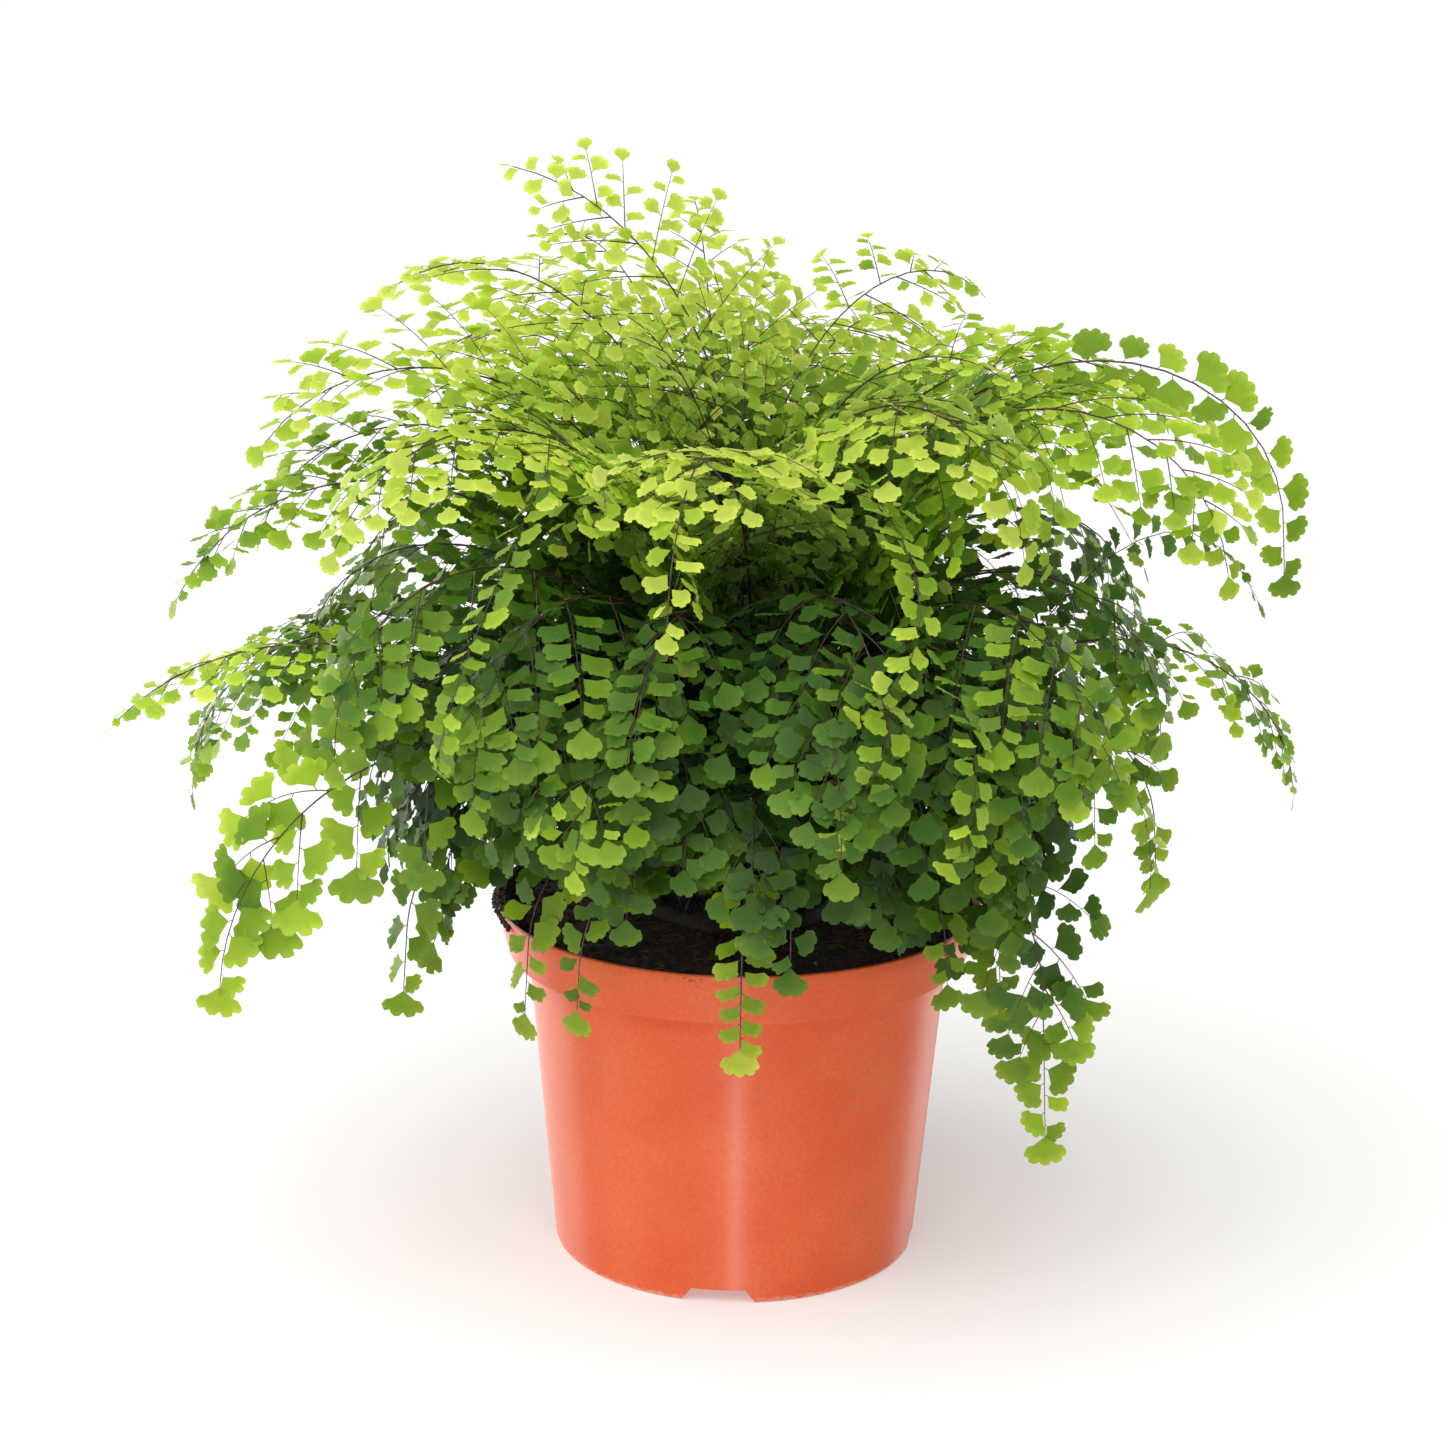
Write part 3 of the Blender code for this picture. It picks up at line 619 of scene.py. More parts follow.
def grow_leaflets(skeleton, bough, looks, rng, twig=False):
    """Leaflets down both sides of a branch and one at its tip. A long branch carries twigs near its foot."""
    leaf, lift, show = looks["leaf"] / 1000, looks["lift"], looks["show"]
    room = looks["gap"] * sum(ROOM[side] for side in looks["sides"]) / len(looks["sides"])
    count = max(1, int(bough.length / (leaf * room)))

    def place(t):
        """Point, direction and upper face, which is turned towards the front by a share of its own."""
        point, ahead, face = bough_at(bough, t)
        return point, ahead, square(face * (1 - show) + FRONT * show, ahead)

    for k in range(count):
        t = (k + 0.75 + rng.uniform(-0.2, 0.2)) / (count + 0.4)
        point, ahead, face = place(t)
        across = np.cross(ahead, face)
        hand = 1 if k % 2 == 0 else -1
        # Painted shade by place darkens leaflets deep in the foliage; the tone also rises towards the branch's tip
        tone = looks["tone"] + paler(point) + 0.14 * (t - 0.5)
        if looks["twigs"] and not twig and bough.length > DIVIDED_LENGTH and t < DIVIDED_SHARE:
            length = bough.length * TWIG_SHARE * (1 - t)
            away = unit(ahead * 0.6 + across * hand * 0.8)
            sub = sagging(point, away, face, length, looks["sag"], TWIG_STEPS)
            skeleton.stem(sub.points, TWIG_RADII)
            grow_leaflets(skeleton, sub, dict(looks, leaf=looks["leaf"] * TWIG_LEAF), rng, twig=True)
            continue
        if rng.random() < LEAFLET_MISSING:
            continue
        size = leaf * (0.72 + 0.4 * math.sin(math.pi * min(1, t * 0.9 + 0.15))) * rng.uniform(0.82, 1.12)
        angle = math.radians(88 - 22 * t + rng.uniform(-12, 12))
        away = unit(ahead * math.cos(angle) + across * hand * math.sin(angle))
        kind = rng.choice(looks["sides"])
        if kind == "wing":
            kind = ("curled_" if rng.random() < LEAFLET_CURLED else "") + ("wing_back" if hand > 0 else "wing")
        else:
            away = unit(away + ahead * 0.35)
        if looks["low"] or not in_a_window(point + away * size * 0.6):
            skeleton.leaflet(point, away, lit_face(face, away, lift, rng), size, kind, tone, rng.random())
    point, ahead, face = place(1.0)
    if looks["low"] or not in_a_window(point):
        size = leaf * rng.uniform(1.0, 1.25) * looks["end_size"]
        # The end leaflet takes the same painted shade by place
        tone = looks["tone"] + paler(point) + 0.10
        skeleton.leaflet(point, ahead, lit_face(face, ahead, lift, rng), size, looks["end"], tone, rng.random())


def frond_skeleton(number, frond, rng, skeleton=None):
    """The whole frond: its stem, its side branches and their leaflets."""
    looks = {**USUAL, **FAMILIES[frond["family"]], **SINGLED.get(number, {})}
    leaf = looks["leaf"] / 1000
    skeleton = skeleton or Skeleton()
    curve = stem_curve(frond)
    skeleton.stem(curve[0][:: CURVE_STEPS // STEM_STEPS], STEM_RADII)
    blade = frond["length"] * (1 - STIPE)
    branched = looks["direct"] - looks["bare"]
    count = max(6, min(26, round(frond["length"] * branched / (leaf * BOUGH_GAP))))
    for i in range(count):
        along = (i + 0.3) / count
        t = looks["bare"] + branched * (1 - (1 - along) ** BOUGH_CROWDING)
        point, ahead, sideways, face = frame_at(frond, curve, t)
        hand = 1 if i % 2 == 0 else -1
        length = looks["width"] * blade * (1 - along) ** looks["taper"] * rng.uniform(0.85, 1.12) + leaf * 1.1
        if i < 2:
            length *= 0.85
        spread = math.radians(BOUGH_SPREAD - BOUGH_CLOSING * along + rng.uniform(-6, 6))
        away = math.cos(spread) * ahead + hand * math.sin(spread) * sideways + face * rng.uniform(-0.15, 0.30)
        away[2] -= looks["fall"]
        bough = sagging(point, unit(away), face, length, looks["sag"], BOUGH_STEPS)
        if in_the_pot(bough.points[-1]) or in_the_pot(point):
            continue
        if in_a_window(bough.points[-1]) and not looks["low"]:
            continue
        skeleton.stem(bough.points, BOUGH_RADII)
        # Higher branches are paler and lower ones darker, as painted shade from the light above and younger leaves high
        # up; the tone also rises a little along the blade and varies at random
        shade = 0.30 * (height_share(point[2]) - 0.5) + 0.12 * (along - 0.5) + rng.uniform(-0.11, 0.11)
        grow_leaflets(skeleton, bough, dict(looks, tone=looks["tone"] + shade), rng)
    end = stem_end(frond, curve, looks["direct"])
    grow_leaflets(skeleton, end, {**looks, "twigs": False, "low": True, **looks["last"]}, rng)
    for hand, share in looks["pair"]:
        point, ahead, face = bough_at(end, share)
        away = unit(ahead * PAIR_AHEAD + np.cross(ahead, face) * hand)
        kind = "wing_back" if hand > 0 else "wing"
        # The paired leaflets take the same painted shade by place
        skeleton.leaflet(point, away, face, leaf * PAIR_SIZE, kind, looks["tone"] + paler(point), 0.5)
    for owner, share, middle, tip, size, tone, sides in SPRIGS:
        if owner == number:
            branch = hanging(frame_at(frond, curve, share)[0], np.array(middle), np.array(tip))
            skeleton.stem(branch.points, BOUGH_RADII)
            grow_leaflets(skeleton, branch, dict(looks, leaf=size, tone=tone, sides=sides, **SPRIG_LOOKS), rng)
    return skeleton


def undergrowth(rng):
    """The low fronds' numbers, a list for each of their pieces."""
    groups = [[] for _ in range(UNDER_PIECES)]
    for count, first, last, rise, droop, length in UNDERGROWTH:
        for i in range(count):
            turn = first + (last - first) * (i + 0.5) / count
            frond = varied(rng, "inner", turn, rise, droop, length, UNDER_VARIES)
            if not in_a_window(stem_curve(frond)[0][-1]):
                groups[int((turn + 180) / 360 * UNDER_PIECES) % UNDER_PIECES].append(frond)
    return groups


def lobed_edge(reaches, lobes, depth):
    """Points round the outer edge: the reaches with rounded lobes, four points to a lobe."""
    steps = 4 * lobes
    angles, reach = zip(*reaches)
    points = []
    for i in range(steps + 1):
        angle = angles[0] + (angles[-1] - angles[0]) * i / steps
        notch = (depth, 0.12 * depth, 0, 0.12 * depth)[i % 4] if 0 < i < steps else 0
        points.append((angle, float(np.interp(angle, angles, reach)) * (1 - notch)))
    return points


def bridge(bm, rings, closed=True):
    """Join each ring of points to the next by faces. A ring that repeats one point closes a pole."""
    for first, second in zip(rings, rings[1:]):
        for k in range(len(first) if closed else len(first) - 1):
            j = (k + 1) % len(first)
            bm.faces.new(list(dict.fromkeys((first[k], second[k], second[j], first[j]))))


def mesh_from(name, bm, smooth=True):
    """An object from a bmesh, which is freed."""
    for face in bm.faces:
        face.smooth = smooth
    mesh = bpy.data.meshes.new(name)
    bm.to_mesh(mesh)
    bm.free()
    return bpy.data.objects.new(name, mesh)


def leaflet_mesh(name, outline, mirrored, cup, curl, ripple):
    """A leaflet of length 1 with its stalk's foot at the origin: a thin sheet on a three-sided stalk."""
    hand = -1 if mirrored else 1
    edge = lobed_edge(*outline)
    bm = bmesh.new()
    place = bm.verts.layers.float_vector.new("leaf_place")
    woody = bm.faces.layers.int.new("woody")

    def point(angle, reach, margin, turn=0.0):
        x = hand * reach * math.sin(math.radians(angle))
        y = STALK + (1 - STALK) * reach * math.cos(math.radians(angle))
        z = cup * x * x - curl * reach * reach + ripple * margin * math.sin(turn)
        made = bm.verts.new((x, y, z))
        made[place] = (x, y - STALK, margin)
        return made

    base = point(0, 0, 0)
    first, last = edge[0][0], edge[-1][0]
    inner = []
    for i in range(INNER_COUNT):
        part = i / (INNER_COUNT - 1)
        angle = (first + last) / 2 + (last - first) * (part - 0.5) * INNER_NARROW
        reach = edge[round(part * (len(edge) - 1))][1]
        inner.append(point(angle, min(INNER_REACH, reach * 0.9), INNER_REACH))
    outer = [point(angle, reach, 1, 2.1 * i) for i, (angle, reach) in enumerate(edge)]
    rows = [(base, inner[i], inner[i + 1]) for i in range(INNER_COUNT - 1)]
    share = (len(outer) - 1) / (INNER_COUNT - 1)
    for i in range(INNER_COUNT - 1):
        start, end = round(i * share), round((i + 1) * share)
        middle = (start + end) // 2
        rows += [(inner[i], outer[k], outer[k + 1]) for k in range(start, middle)]
        rows.append((inner[i], outer[middle], inner[i + 1]))
        rows += [(inner[i + 1], outer[k], outer[k + 1]) for k in range(middle, end)]
    for corners in rows:
        face = bm.faces.new(corners)
        face.normal_update()
        if face.normal.z < 0:
            face.normal_flip()
    sheet = len(bm.faces)
    corners = [(STALK_RADIUS * math.cos(a), STALK_RADIUS * math.sin(a)) for a in np.radians((90, 210, 330))]
    rings = [[bm.verts.new((x, y, z)) for x, z in corners] for y in (0.0, STALK + 0.02)]
    bm.faces.new(rings[0])
    bridge(bm, rings)
    stalk = list(bm.faces)[sheet:]
    bmesh.ops.recalc_face_normals(bm, faces=stalk)
    for face in stalk:
        face[woody] = 1
    return mesh_from(name, bm)


def collected(name, things):
    """A collection of source shapes, which the trees pick from by their place in it."""
    shapes = bpy.data.collections.new(name)
    bpy.context.scene.collection.children.link(shapes)
    for thing in things:
        shapes.objects.link(thing)
    return shapes


def discard(*collections):
    """Remove collections of source shapes and their objects."""
    for collection in collections:
        for thing in list(collection.objects):
            bpy.data.objects.remove(thing)
        bpy.data.collections.remove(collection)


def new_tree(name, **inputs):
    """A Geometry Nodes tree with geometry in and out and one named input for each size or source."""
    tree = bpy.data.node_groups.new(name, "GeometryNodeTree")
    tree.interface.new_socket("Geometry", in_out="OUTPUT", socket_type="NodeSocketGeometry")
    for label, kind in {"geometry": "Geometry", **inputs}.items():
        tree.interface.new_socket(label.replace("_", " ").title(), in_out="INPUT", socket_type="NodeSocket" + kind)
    return tree, add(tree, "NodeGroupInput").outputs


def plain(thing, name):
    """The object with its modifiers applied, as a new plain mesh object. The old one is removed."""
    mesh = bpy.data.meshes.new_from_object(thing.evaluated_get(bpy.context.evaluated_depsgraph_get()))
    if not mesh.polygons:
        raise RuntimeError(name + " came out empty")
    mesh.name = name
    # Material slots that the tree leaves empty are dropped
    slots = list(mesh.materials)
    kept = [material for material in slots if material]
    new_index = np.array([kept.index(material) if material else 0 for material in slots], dtype=np.int32)
    index = np.zeros(len(mesh.polygons), dtype=np.int32)
    mesh.polygons.foreach_get("material_index", index)
    mesh.materials.clear()
    for material in kept:
        mesh.materials.append(material)
    mesh.polygons.foreach_set("material_index", new_index[index])
    bpy.data.objects.remove(thing)
    return link(bpy.data.objects.new(name, mesh))


def finished_by(source, tree, name, **values):
    """A plain mesh object made from the source by the tree with its inputs set. The source is removed."""
    modifier = source.modifiers.new(tree.name, "NODES")
    modifier.node_group = tree
    for item in tree.interface.items_tree:
        label = item.name.replace(" ", "_").lower()
        if item.in_out == "INPUT" and label in values:
            modifier[item.identifier] = values[label]
    return plain(source, name)


def frond_tree():
    """Tree that rounds a frond's wire into stems and stands a leaflet on each of its loose points."""
    tree, given = new_tree(
        "frond_builder", leaflet_shapes="Collection", leaflet_scale="Float", stem_scale="Float", stem_sides="Int",
        leaf_finish="Material", stem_finish="Material",
    )
    rows = {}
    for name, kind in dict(thick="FLOAT", size="FLOAT", kind="INT", spin="QUATERNION", woody="INT").items():
        rows[name] = add(tree, "InputNamedAttribute", {"Name": name}, data_type=kind)
    wide = add(tree, "Math", {0: rows["thick"], 1: given["Stem Scale"]}, operation="MULTIPLY")
    wire = add(tree, "MeshToCurve", {"Mesh": given["Geometry"]})
    ring = add(tree, "CurvePrimitiveCircle", {"Resolution": given["Stem Sides"], "Radius": 1.0})
    stem = add(tree, "CurveToMesh", {"Curve": wire, "Profile Curve": ring, "Scale": wide, "Fill Caps": True})
    wood = {"Geometry": stem, "Name": "woody", "Value": 1}
    marked = add(tree, "StoreNamedAttribute", wood, data_type="INT", domain="FACE")
    source = {"Collection": given["Leaflet Shapes"], "Separate Children": True, "Reset Children": True}
    leafy = add(tree, "Compare", {0: rows["size"], 1: 0.0001}, data_type="FLOAT", operation="GREATER_THAN")
    reach = add(tree, "Math", {0: rows["size"], 1: given["Leaflet Scale"]}, operation="MULTIPLY")
    stands = {
        "Points": given["Geometry"], "Selection": leafy, "Instance": add(tree, "CollectionInfo", source),
        "Pick Instance": True, "Instance Index": rows["kind"], "Rotation": rows["spin"], "Scale": reach,
    }
    leaves = add(tree, "InstanceOnPoints", stands)
    both = add(tree, "JoinGeometry")
    for part in (marked, leaves):
        tree.links.new(part.outputs[0], both.inputs[0])
    smooth = add(tree, "SetShadeSmooth", {"Geometry": add(tree, "RealizeInstances", {"Geometry": both})})
    green = add(tree, "SetMaterial", {"Geometry": smooth, "Material": given["Leaf Finish"]})
    wood = {"Geometry": green, "Selection": rows["woody"], "Material": given["Stem Finish"]}
    add(tree, "NodeGroupOutput", {0: add(tree, "SetMaterial", wood)})
    return tree


def scatter_tree():
    """Tree that scatters pieces over a surface, more small ones than large, with a fixed seed."""
    tree, given = new_tree(
        "scatter", pieces="Collection", density="Float", smallest="Float", largest="Float", tilt="Float", seed="Int",
        finish="Material",
    )
    ground = {"Mesh": given["Geometry"], "Density": given["Density"], "Seed": given["Seed"]}
    spread = add(tree, "DistributePointsOnFaces", ground)
    source = {"Collection": given["Pieces"], "Separate Children": True, "Reset Children": True}
    raw = add(tree, "RandomValue", {2: 0.0, 3: 1.0, "Seed": given["Seed"]}, data_type="FLOAT")
    bias = add(tree, "Math", {0: raw, 1: 2.2}, operation="POWER")
    size = add(tree, "MapRange", {0: bias, 3: given["Smallest"], 4: given["Largest"]})
    lean = add(tree, "Math", {0: given["Tilt"], 1: -1.0}, operation="MULTIPLY")
    low = add(tree, "CombineXYZ", {0: lean, 1: lean, 2: -math.pi})
    high = add(tree, "CombineXYZ", {0: given["Tilt"], 1: given["Tilt"], 2: math.pi})
    turn = add(tree, "RandomValue", {0: low, 1: high, "Seed": 3}, data_type="FLOAT_VECTOR")
    own = add(tree, "EulerToRotation", {0: turn})
    spun = add(tree, "RotateRotation", {0: spread.outputs["Rotation"], 1: own}, rotation_space="LOCAL")
    stands = {
        "Points": spread.outputs["Points"], "Instance": add(tree, "CollectionInfo", source), "Pick Instance": True,
        "Rotation": spun, "Scale": size,
    }
    grain = add(tree, "RandomValue", {2: 0.0, 3: 1.0, "Seed": 5}, data_type="FLOAT")
    marks = {"Geometry": add(tree, "InstanceOnPoints", stands), "Name": "grain", "Value": grain}
    marked = add(tree, "StoreNamedAttribute", marks, data_type="FLOAT", domain="INSTANCE")
    real = add(tree, "RealizeInstances", {"Geometry": marked})
    add(tree, "NodeGroupOutput", {0: add(tree, "SetMaterial", {"Geometry": real, "Material": given["Finish"]})})
    return tree


def arc(centre, radius, start, end, steps):
    """Points round an arc in a section, in degrees from outwards towards up."""
    turns = [math.radians(start + (end - start) * i / steps) for i in range(steps + 1)]
    return [(centre[0] + radius * math.cos(a), centre[1] + radius * math.sin(a)) for a in turns]


def body_radius(z):
    """Outer radius of the pot's tapered body."""
    return BASE_RADIUS + (BODY_TOP_RADIUS - BASE_RADIUS) * z / LEDGE


def rim_radius(z):
    """Outer radius of the flared rim band."""
    return RIM_FOOT_RADIUS + (RIM_RADIUS - RIM_FOOT_RADIUS) * (z - LEDGE) / RIM_BAND


def pot_section():
    """The pot's section, from the middle of its floor up the inside and down the outside, with rounded edges."""
    lip, fillet, foot, hollow, sole = WALL / 2 - 0.00005, 0.0008, 0.0018, 0.002, 0.001
    shelf, bore = LEDGE + WALL, body_radius(LEDGE) - WALL
    inside = [(0, FLOOR_TOP), (0.03, FLOOR_TOP), (0.055, FLOOR_TOP)]
    inside += arc((body_radius(FLOOR_TOP) - WALL - hollow, FLOOR_TOP + hollow), hollow, -90, 0, 4)
    inside += [(body_radius(z) - WALL, z) for z in (0.03, 0.06, 0.09)]
    inside += [(bore, shelf - fillet), (bore + fillet, shelf), (rim_radius(shelf) - WALL, shelf)]
    outside = arc((RIM_RADIUS - lip - 0.0002, POT_HEIGHT - lip), lip, 180, 0, 8)
    outside += [(rim_radius(z), z) for z in (POT_HEIGHT - 0.006, LEDGE + 0.006)]
    outside += arc((RIM_FOOT_RADIUS - fillet, LEDGE + fillet), fillet, 10, -90, 5)
    outside += arc((BODY_TOP_RADIUS + fillet, LEDGE - fillet), fillet, 90, 180, 4)
    outside += [(body_radius(z), z) for z in (0.105, 0.09, 0.075, 0.06, 0.045, 0.03, 0.015, 0.006)]
    outside += arc((body_radius(foot) - foot, foot), foot, 0, -90, 6)
    underside = arc((BASE_RADIUS - FOOT_RING + sole, sole), sole, -90, -180, 3)
    underside += [(radius, FLOOR_LIFT) for radius in (BASE_RADIUS - FOOT_RING, 0.055, 0.03, 0)]
    return inside + outside + underside


def turned(profile, segments, shape=lambda radius, z, turn: (radius, z)):
    """Revolve a section that starts and ends on the axis. shape may move a point by its turn."""
    bm = bmesh.new()
    rings = []
    for radius, z in profile:
        if radius == 0:
            rings.append([bm.verts.new((0, 0, shape(0, z, 0)[1]))] * segments)
            continue
        rings.append([])
        for i in range(segments):
            turn = 2 * math.pi * i / segments
            r, h = shape(radius, z, turn)
            rings[-1].append(bm.verts.new((r * math.cos(turn), r * math.sin(turn), h)))
    bridge(bm, rings)
    bmesh.ops.recalc_face_normals(bm, faces=bm.faces)
    return bm


def mesh_object(name, bm, material=None):
    """An object in the scene from a bmesh, which is freed."""
    made = link(mesh_from(name, bm))
    if material:
        made.data.materials.append(material)
    return made


def notch_outline():
    """The notch's outline with rounded corners: sideways and up from the floor."""
    slope = math.atan2(NOTCH_HEIGHT, (NOTCH_WIDE - NOTCH_NARROW) / 2)
    top, half = NOTCH_HEIGHT - NOTCH_ROUND, NOTCH_WIDE / 2
    corner = NOTCH_NARROW / 2 - NOTCH_ROUND * math.tan(slope / 2)
    left = [(-half - 0.0012, -0.004), (-half - 0.0012, 0), (-half - 0.0002, 0.0004)]
    for i in range(5):
        a = math.pi / 2 + slope * (1 - i / 4)
        left.append((-corner + NOTCH_ROUND * math.cos(a), top + NOTCH_ROUND * math.sin(a)))
    return left + [(-x, z) for x, z in reversed(left)]


def pot_cutter():
    """Blocks for the notches through the foot ring and cylinders for the drain holes."""
    bm = bmesh.new()
    for i in range(NOTCH_COUNT):
        turn = math.radians(NOTCH_TURN + 360 / NOTCH_COUNT * i)
        along = Vector((math.cos(turn), math.sin(turn), 0))
        across = Vector((-along.y, along.x, 0))
        ends = []
        for reach in (BASE_RADIUS - 3 * FOOT_RING, BASE_RADIUS + FOOT_RING):
            ends.append([bm.verts.new(along * reach + across * x + Vector((0, 0, z))) for x, z in notch_outline()])
            bm.faces.new(ends[-1])
        bridge(bm, ends)
    for i in range(DRAIN_COUNT):
        turn = math.radians(NOTCH_TURN + 360 / DRAIN_COUNT * (i + 0.5))
        centre = (DRAIN_CIRCLE * math.cos(turn), DRAIN_CIRCLE * math.sin(turn), FLOOR_LIFT + WALL / 2)
        bmesh.ops.create_cone(
            bm, cap_ends=True, segments=32, radius1=DRAIN_RADIUS, radius2=DRAIN_RADIUS, depth=3 * WALL,
            matrix=Matrix.Translation(centre),
        )
    bmesh.ops.recalc_face_normals(bm, faces=bm.faces)
    return mesh_object("pot_cutter", bm)


def pot_material(own):
    """Moulded polypropylene: a satin orange whose turned mould draws a lamp out into an upright streak."""
    material, tree, where = new_material("moulded_polypropylene")
    height = add(tree, "SeparateXYZ", {0: where}).outputs["Z"]
    # Pigment clumps of 1 to 2 mm and flow marks of 40 mm
    mottle = add(tree, "TexNoise", {"Vector": where, "Scale": 700.0, "Detail": 3.0, "Roughness": 0.6})
    flow = add(tree, "TexNoise", {"Vector": where, "Scale": 26.0, "Detail": 2.0})
    both = add(tree, "Mix", {0: 0.45, 2: mottle, 3: flow}, data_type="FLOAT")
    colour = ramp(tree, both, (0.30, own.deep), (0.52, own.colour), (0.72, own.pale))
    # Scuffs of 2 to 4 mm along the foot's edge
    low = add(tree, "MapRange", {0: height, 1: 0.0062, 2: 0.0004, 3: 0.0, 4: 1.0})
    squash = add(tree, "Mapping", {"Vector": where, "Scale": (1.0, 1.0, 2.6)})
    rub = add(tree, "TexNoise", {"Vector": squash, "Scale": 330.0, "Detail": 4.0, "Roughness": 0.7})
    rubbed = add(tree, "Math", {0: low, 1: rub}, operation="MULTIPLY")
    scuff = add(tree, "MapRange", {0: rubbed, 1: 0.34, 2: 0.50, 3: 0.0, 4: 0.75})
    worn = add(tree, "Mix", {0: scuff, 6: colour, 7: own.scuff}, data_type="RGBA")
    # Peat dust in specks of under 1 mm, thicker towards the rim
    speck = add(tree, "TexNoise", {"Vector": where, "Scale": 900.0, "Detail": 2.0})
    patch = add(tree, "TexNoise", {"Vector": where, "Scale": 45.0, "Detail": 3.0})
    high = add(tree, "MapRange", {0: height, 1: 0.100, 2: 0.1415, 3: 0.0, 4: 0.10})
    dust = add(tree, "Math", {0: speck, 1: patch, 2: high}, operation="MULTIPLY_ADD")
    dirt = add(tree, "MapRange", {0: dust, 1: 0.47, 2: 0.53, 3: 0.0, 4: 0.7})
    soiled = add(tree, "Mix", {0: dirt, 6: worn, 7: own.dirt}, data_type="RGBA")
    rough = add(tree, "MapRange", {0: mottle, 1: 0.3, 2: 0.7, 3: own.gloss - 0.03, 4: own.gloss + 0.04})
    finish = {
        "Base Color": soiled,
        "Roughness": add(tree, "Math", {0: scuff, 1: 0.35, 2: rough}, operation="MULTIPLY_ADD"),
        "Normal": add(tree, "Bump", {"Strength": 0.25, "Distance": 0.00004, "Height": mottle}),
        "Tangent": add(tree, "Tangent", direction_type="RADIAL", axis="Z"),
        "IOR": 1.49, "Anisotropic": 1.0, "Anisotropic Rotation": 0.25,
    }
    add(tree, "OutputMaterial", {"Surface": add(tree, "BsdfPrincipled", finish)})
    return material


def leaf_material(own):
    """Living fern leaf, thin and unwaxed: soft green, yellower where it is young, that glows with light behind it."""
    material, tree, where = new_material("living_fern_leaf")
    tone = add(tree, "Attribute", attribute_name="tone").outputs["Fac"]
    grain = add(tree, "Attribute", attribute_name="grain").outputs["Fac"]
    place = add(tree, "Attribute", attribute_name="leaf_place").outputs["Vector"]
    across, along, margin = add(tree, "SeparateXYZ", {0: place}).outputs
    # Each leaflet differs a little, and patches of about 40 mm differ together
    spread = add(tree, "MapRange", {0: grain, 3: -0.24, 4: 0.24})
    cloud = add(tree, "TexNoise", {"Vector": where, "Scale": 24.0, "Detail": 2.0})
    drift = add(tree, "MapRange", {0: cloud, 1: 0.3, 2: 0.7, 3: -0.10, 4: 0.10})
    single = add(tree, "Math", {0: spread, 1: tone, 2: tone}, operation="MULTIPLY_ADD")
    shade = add(tree, "Math", {0: single, 1: drift}, operation="ADD")
    # The tone picks a colour from the oldest leaflets to the youngest; it also carries painted shade, darker deep in
    # the foliage and lower down
    age_and_shade_stops = zip((0.05, 0.35, 0.62, 0.85, 1.0), (own.oldest, own.old, own.ripe, own.young, own.youngest))
    green = ramp(tree, shade, *age_and_shade_stops)
    # Forked veins fan out from the stalk, 0.4 mm apart, and the margin is paler
    angle = add(tree, "Math", {0: across, 1: along}, operation="ARCTAN2")
    fine = add(tree, "Math", {0: angle, 1: 66.0}, operation="MULTIPLY")
    vein = add(tree, "MapRange", {0: add(tree, "Math", {0: fine}, operation="SINE"), 1: 0.2, 2: 1.0, 3: 0.0, 4: 1.0})
    veined = add(tree, "Math", {0: vein, 1: 0.26}, operation="MULTIPLY")
    darker = add(tree, "HueSaturation", {"Hue": 0.508, "Saturation": 1.05, "Value": 0.62, "Color": green})
    marked = add(tree, "Mix", {0: veined, 6: green, 7: darker}, data_type="RGBA")
    pale = add(tree, "HueSaturation", {"Hue": 0.490, "Saturation": 0.96, "Value": 1.45, "Color": green})
    edge = add(tree, "MapRange", {0: margin, 1: 0.60, 2: 1.0, 3: 0.0, 4: 0.5}, interpolation_type="SMOOTHSTEP")
    edged = add(tree, "Mix", {0: edge, 6: marked, 7: pale}, data_type="RGBA")
    # The underside is paler and greyer
    under = add(tree, "HueSaturation", {"Hue": 0.5, "Saturation": 0.86, "Value": 1.12, "Color": edged})
    behind = add(tree, "NewGeometry").outputs["Backfacing"]
    sided = add(tree, "Mix", {0: behind, 6: edged, 7: under}, data_type="RGBA")
    skin = add(tree, "TexNoise", {"Vector": where, "Scale": 1400.0, "Detail": 1.0})
    raised = add(tree, "Math", {0: skin, 1: 0.5, 2: vein}, operation="MULTIPLY_ADD")
    finish = {
        "Base Color": sided,
        "Roughness": add(tree, "MapRange", {0: skin, 1: 0.3, 2: 0.7, 3: 0.42, 4: 0.58}),
        "Normal": add(tree, "Bump", {"Strength": 0.35, "Distance": 0.00012, "Height": raised}),
        "IOR": 1.42, "Specular IOR Level": 0.32,
    }
    glow = add(tree, "HueSaturation", {"Hue": 0.495, "Saturation": 1.08, "Value": 1.35, "Color": sided})
    through = add(tree, "BsdfTranslucent", {"Color": glow})
    mixed = add(tree, "MixShader", {0: own.glow, 1: add(tree, "BsdfPrincipled", finish), 2: through})
    add(tree, "OutputMaterial", {"Surface": mixed})
    return material


def grainy_material(name, stops, grain, rough, depth, strength=0.8, ior=1.4, detail=5.0, fine=0.65):
    """Natural matter whose colour, roughness and bump come from one noise, with its grain and depth in metres."""
    material, tree, where = new_material(name)
    coarse = add(tree, "TexNoise", {"Vector": where, "Scale": 1 / grain, "Detail": detail, "Roughness": fine})
    finish = {
        "Base Color": ramp(tree, coarse, *stops),
        "Roughness": add(tree, "MapRange", {0: coarse, 1: 0.3, 2: 0.7, 3: rough[0], 4: rough[1]}),
        "Normal": add(tree, "Bump", {"Strength": strength, "Distance": depth, "Height": coarse}),
        "IOR": ior,
    }
    add(tree, "OutputMaterial", {"Surface": add(tree, "BsdfPrincipled", finish)})
    return material


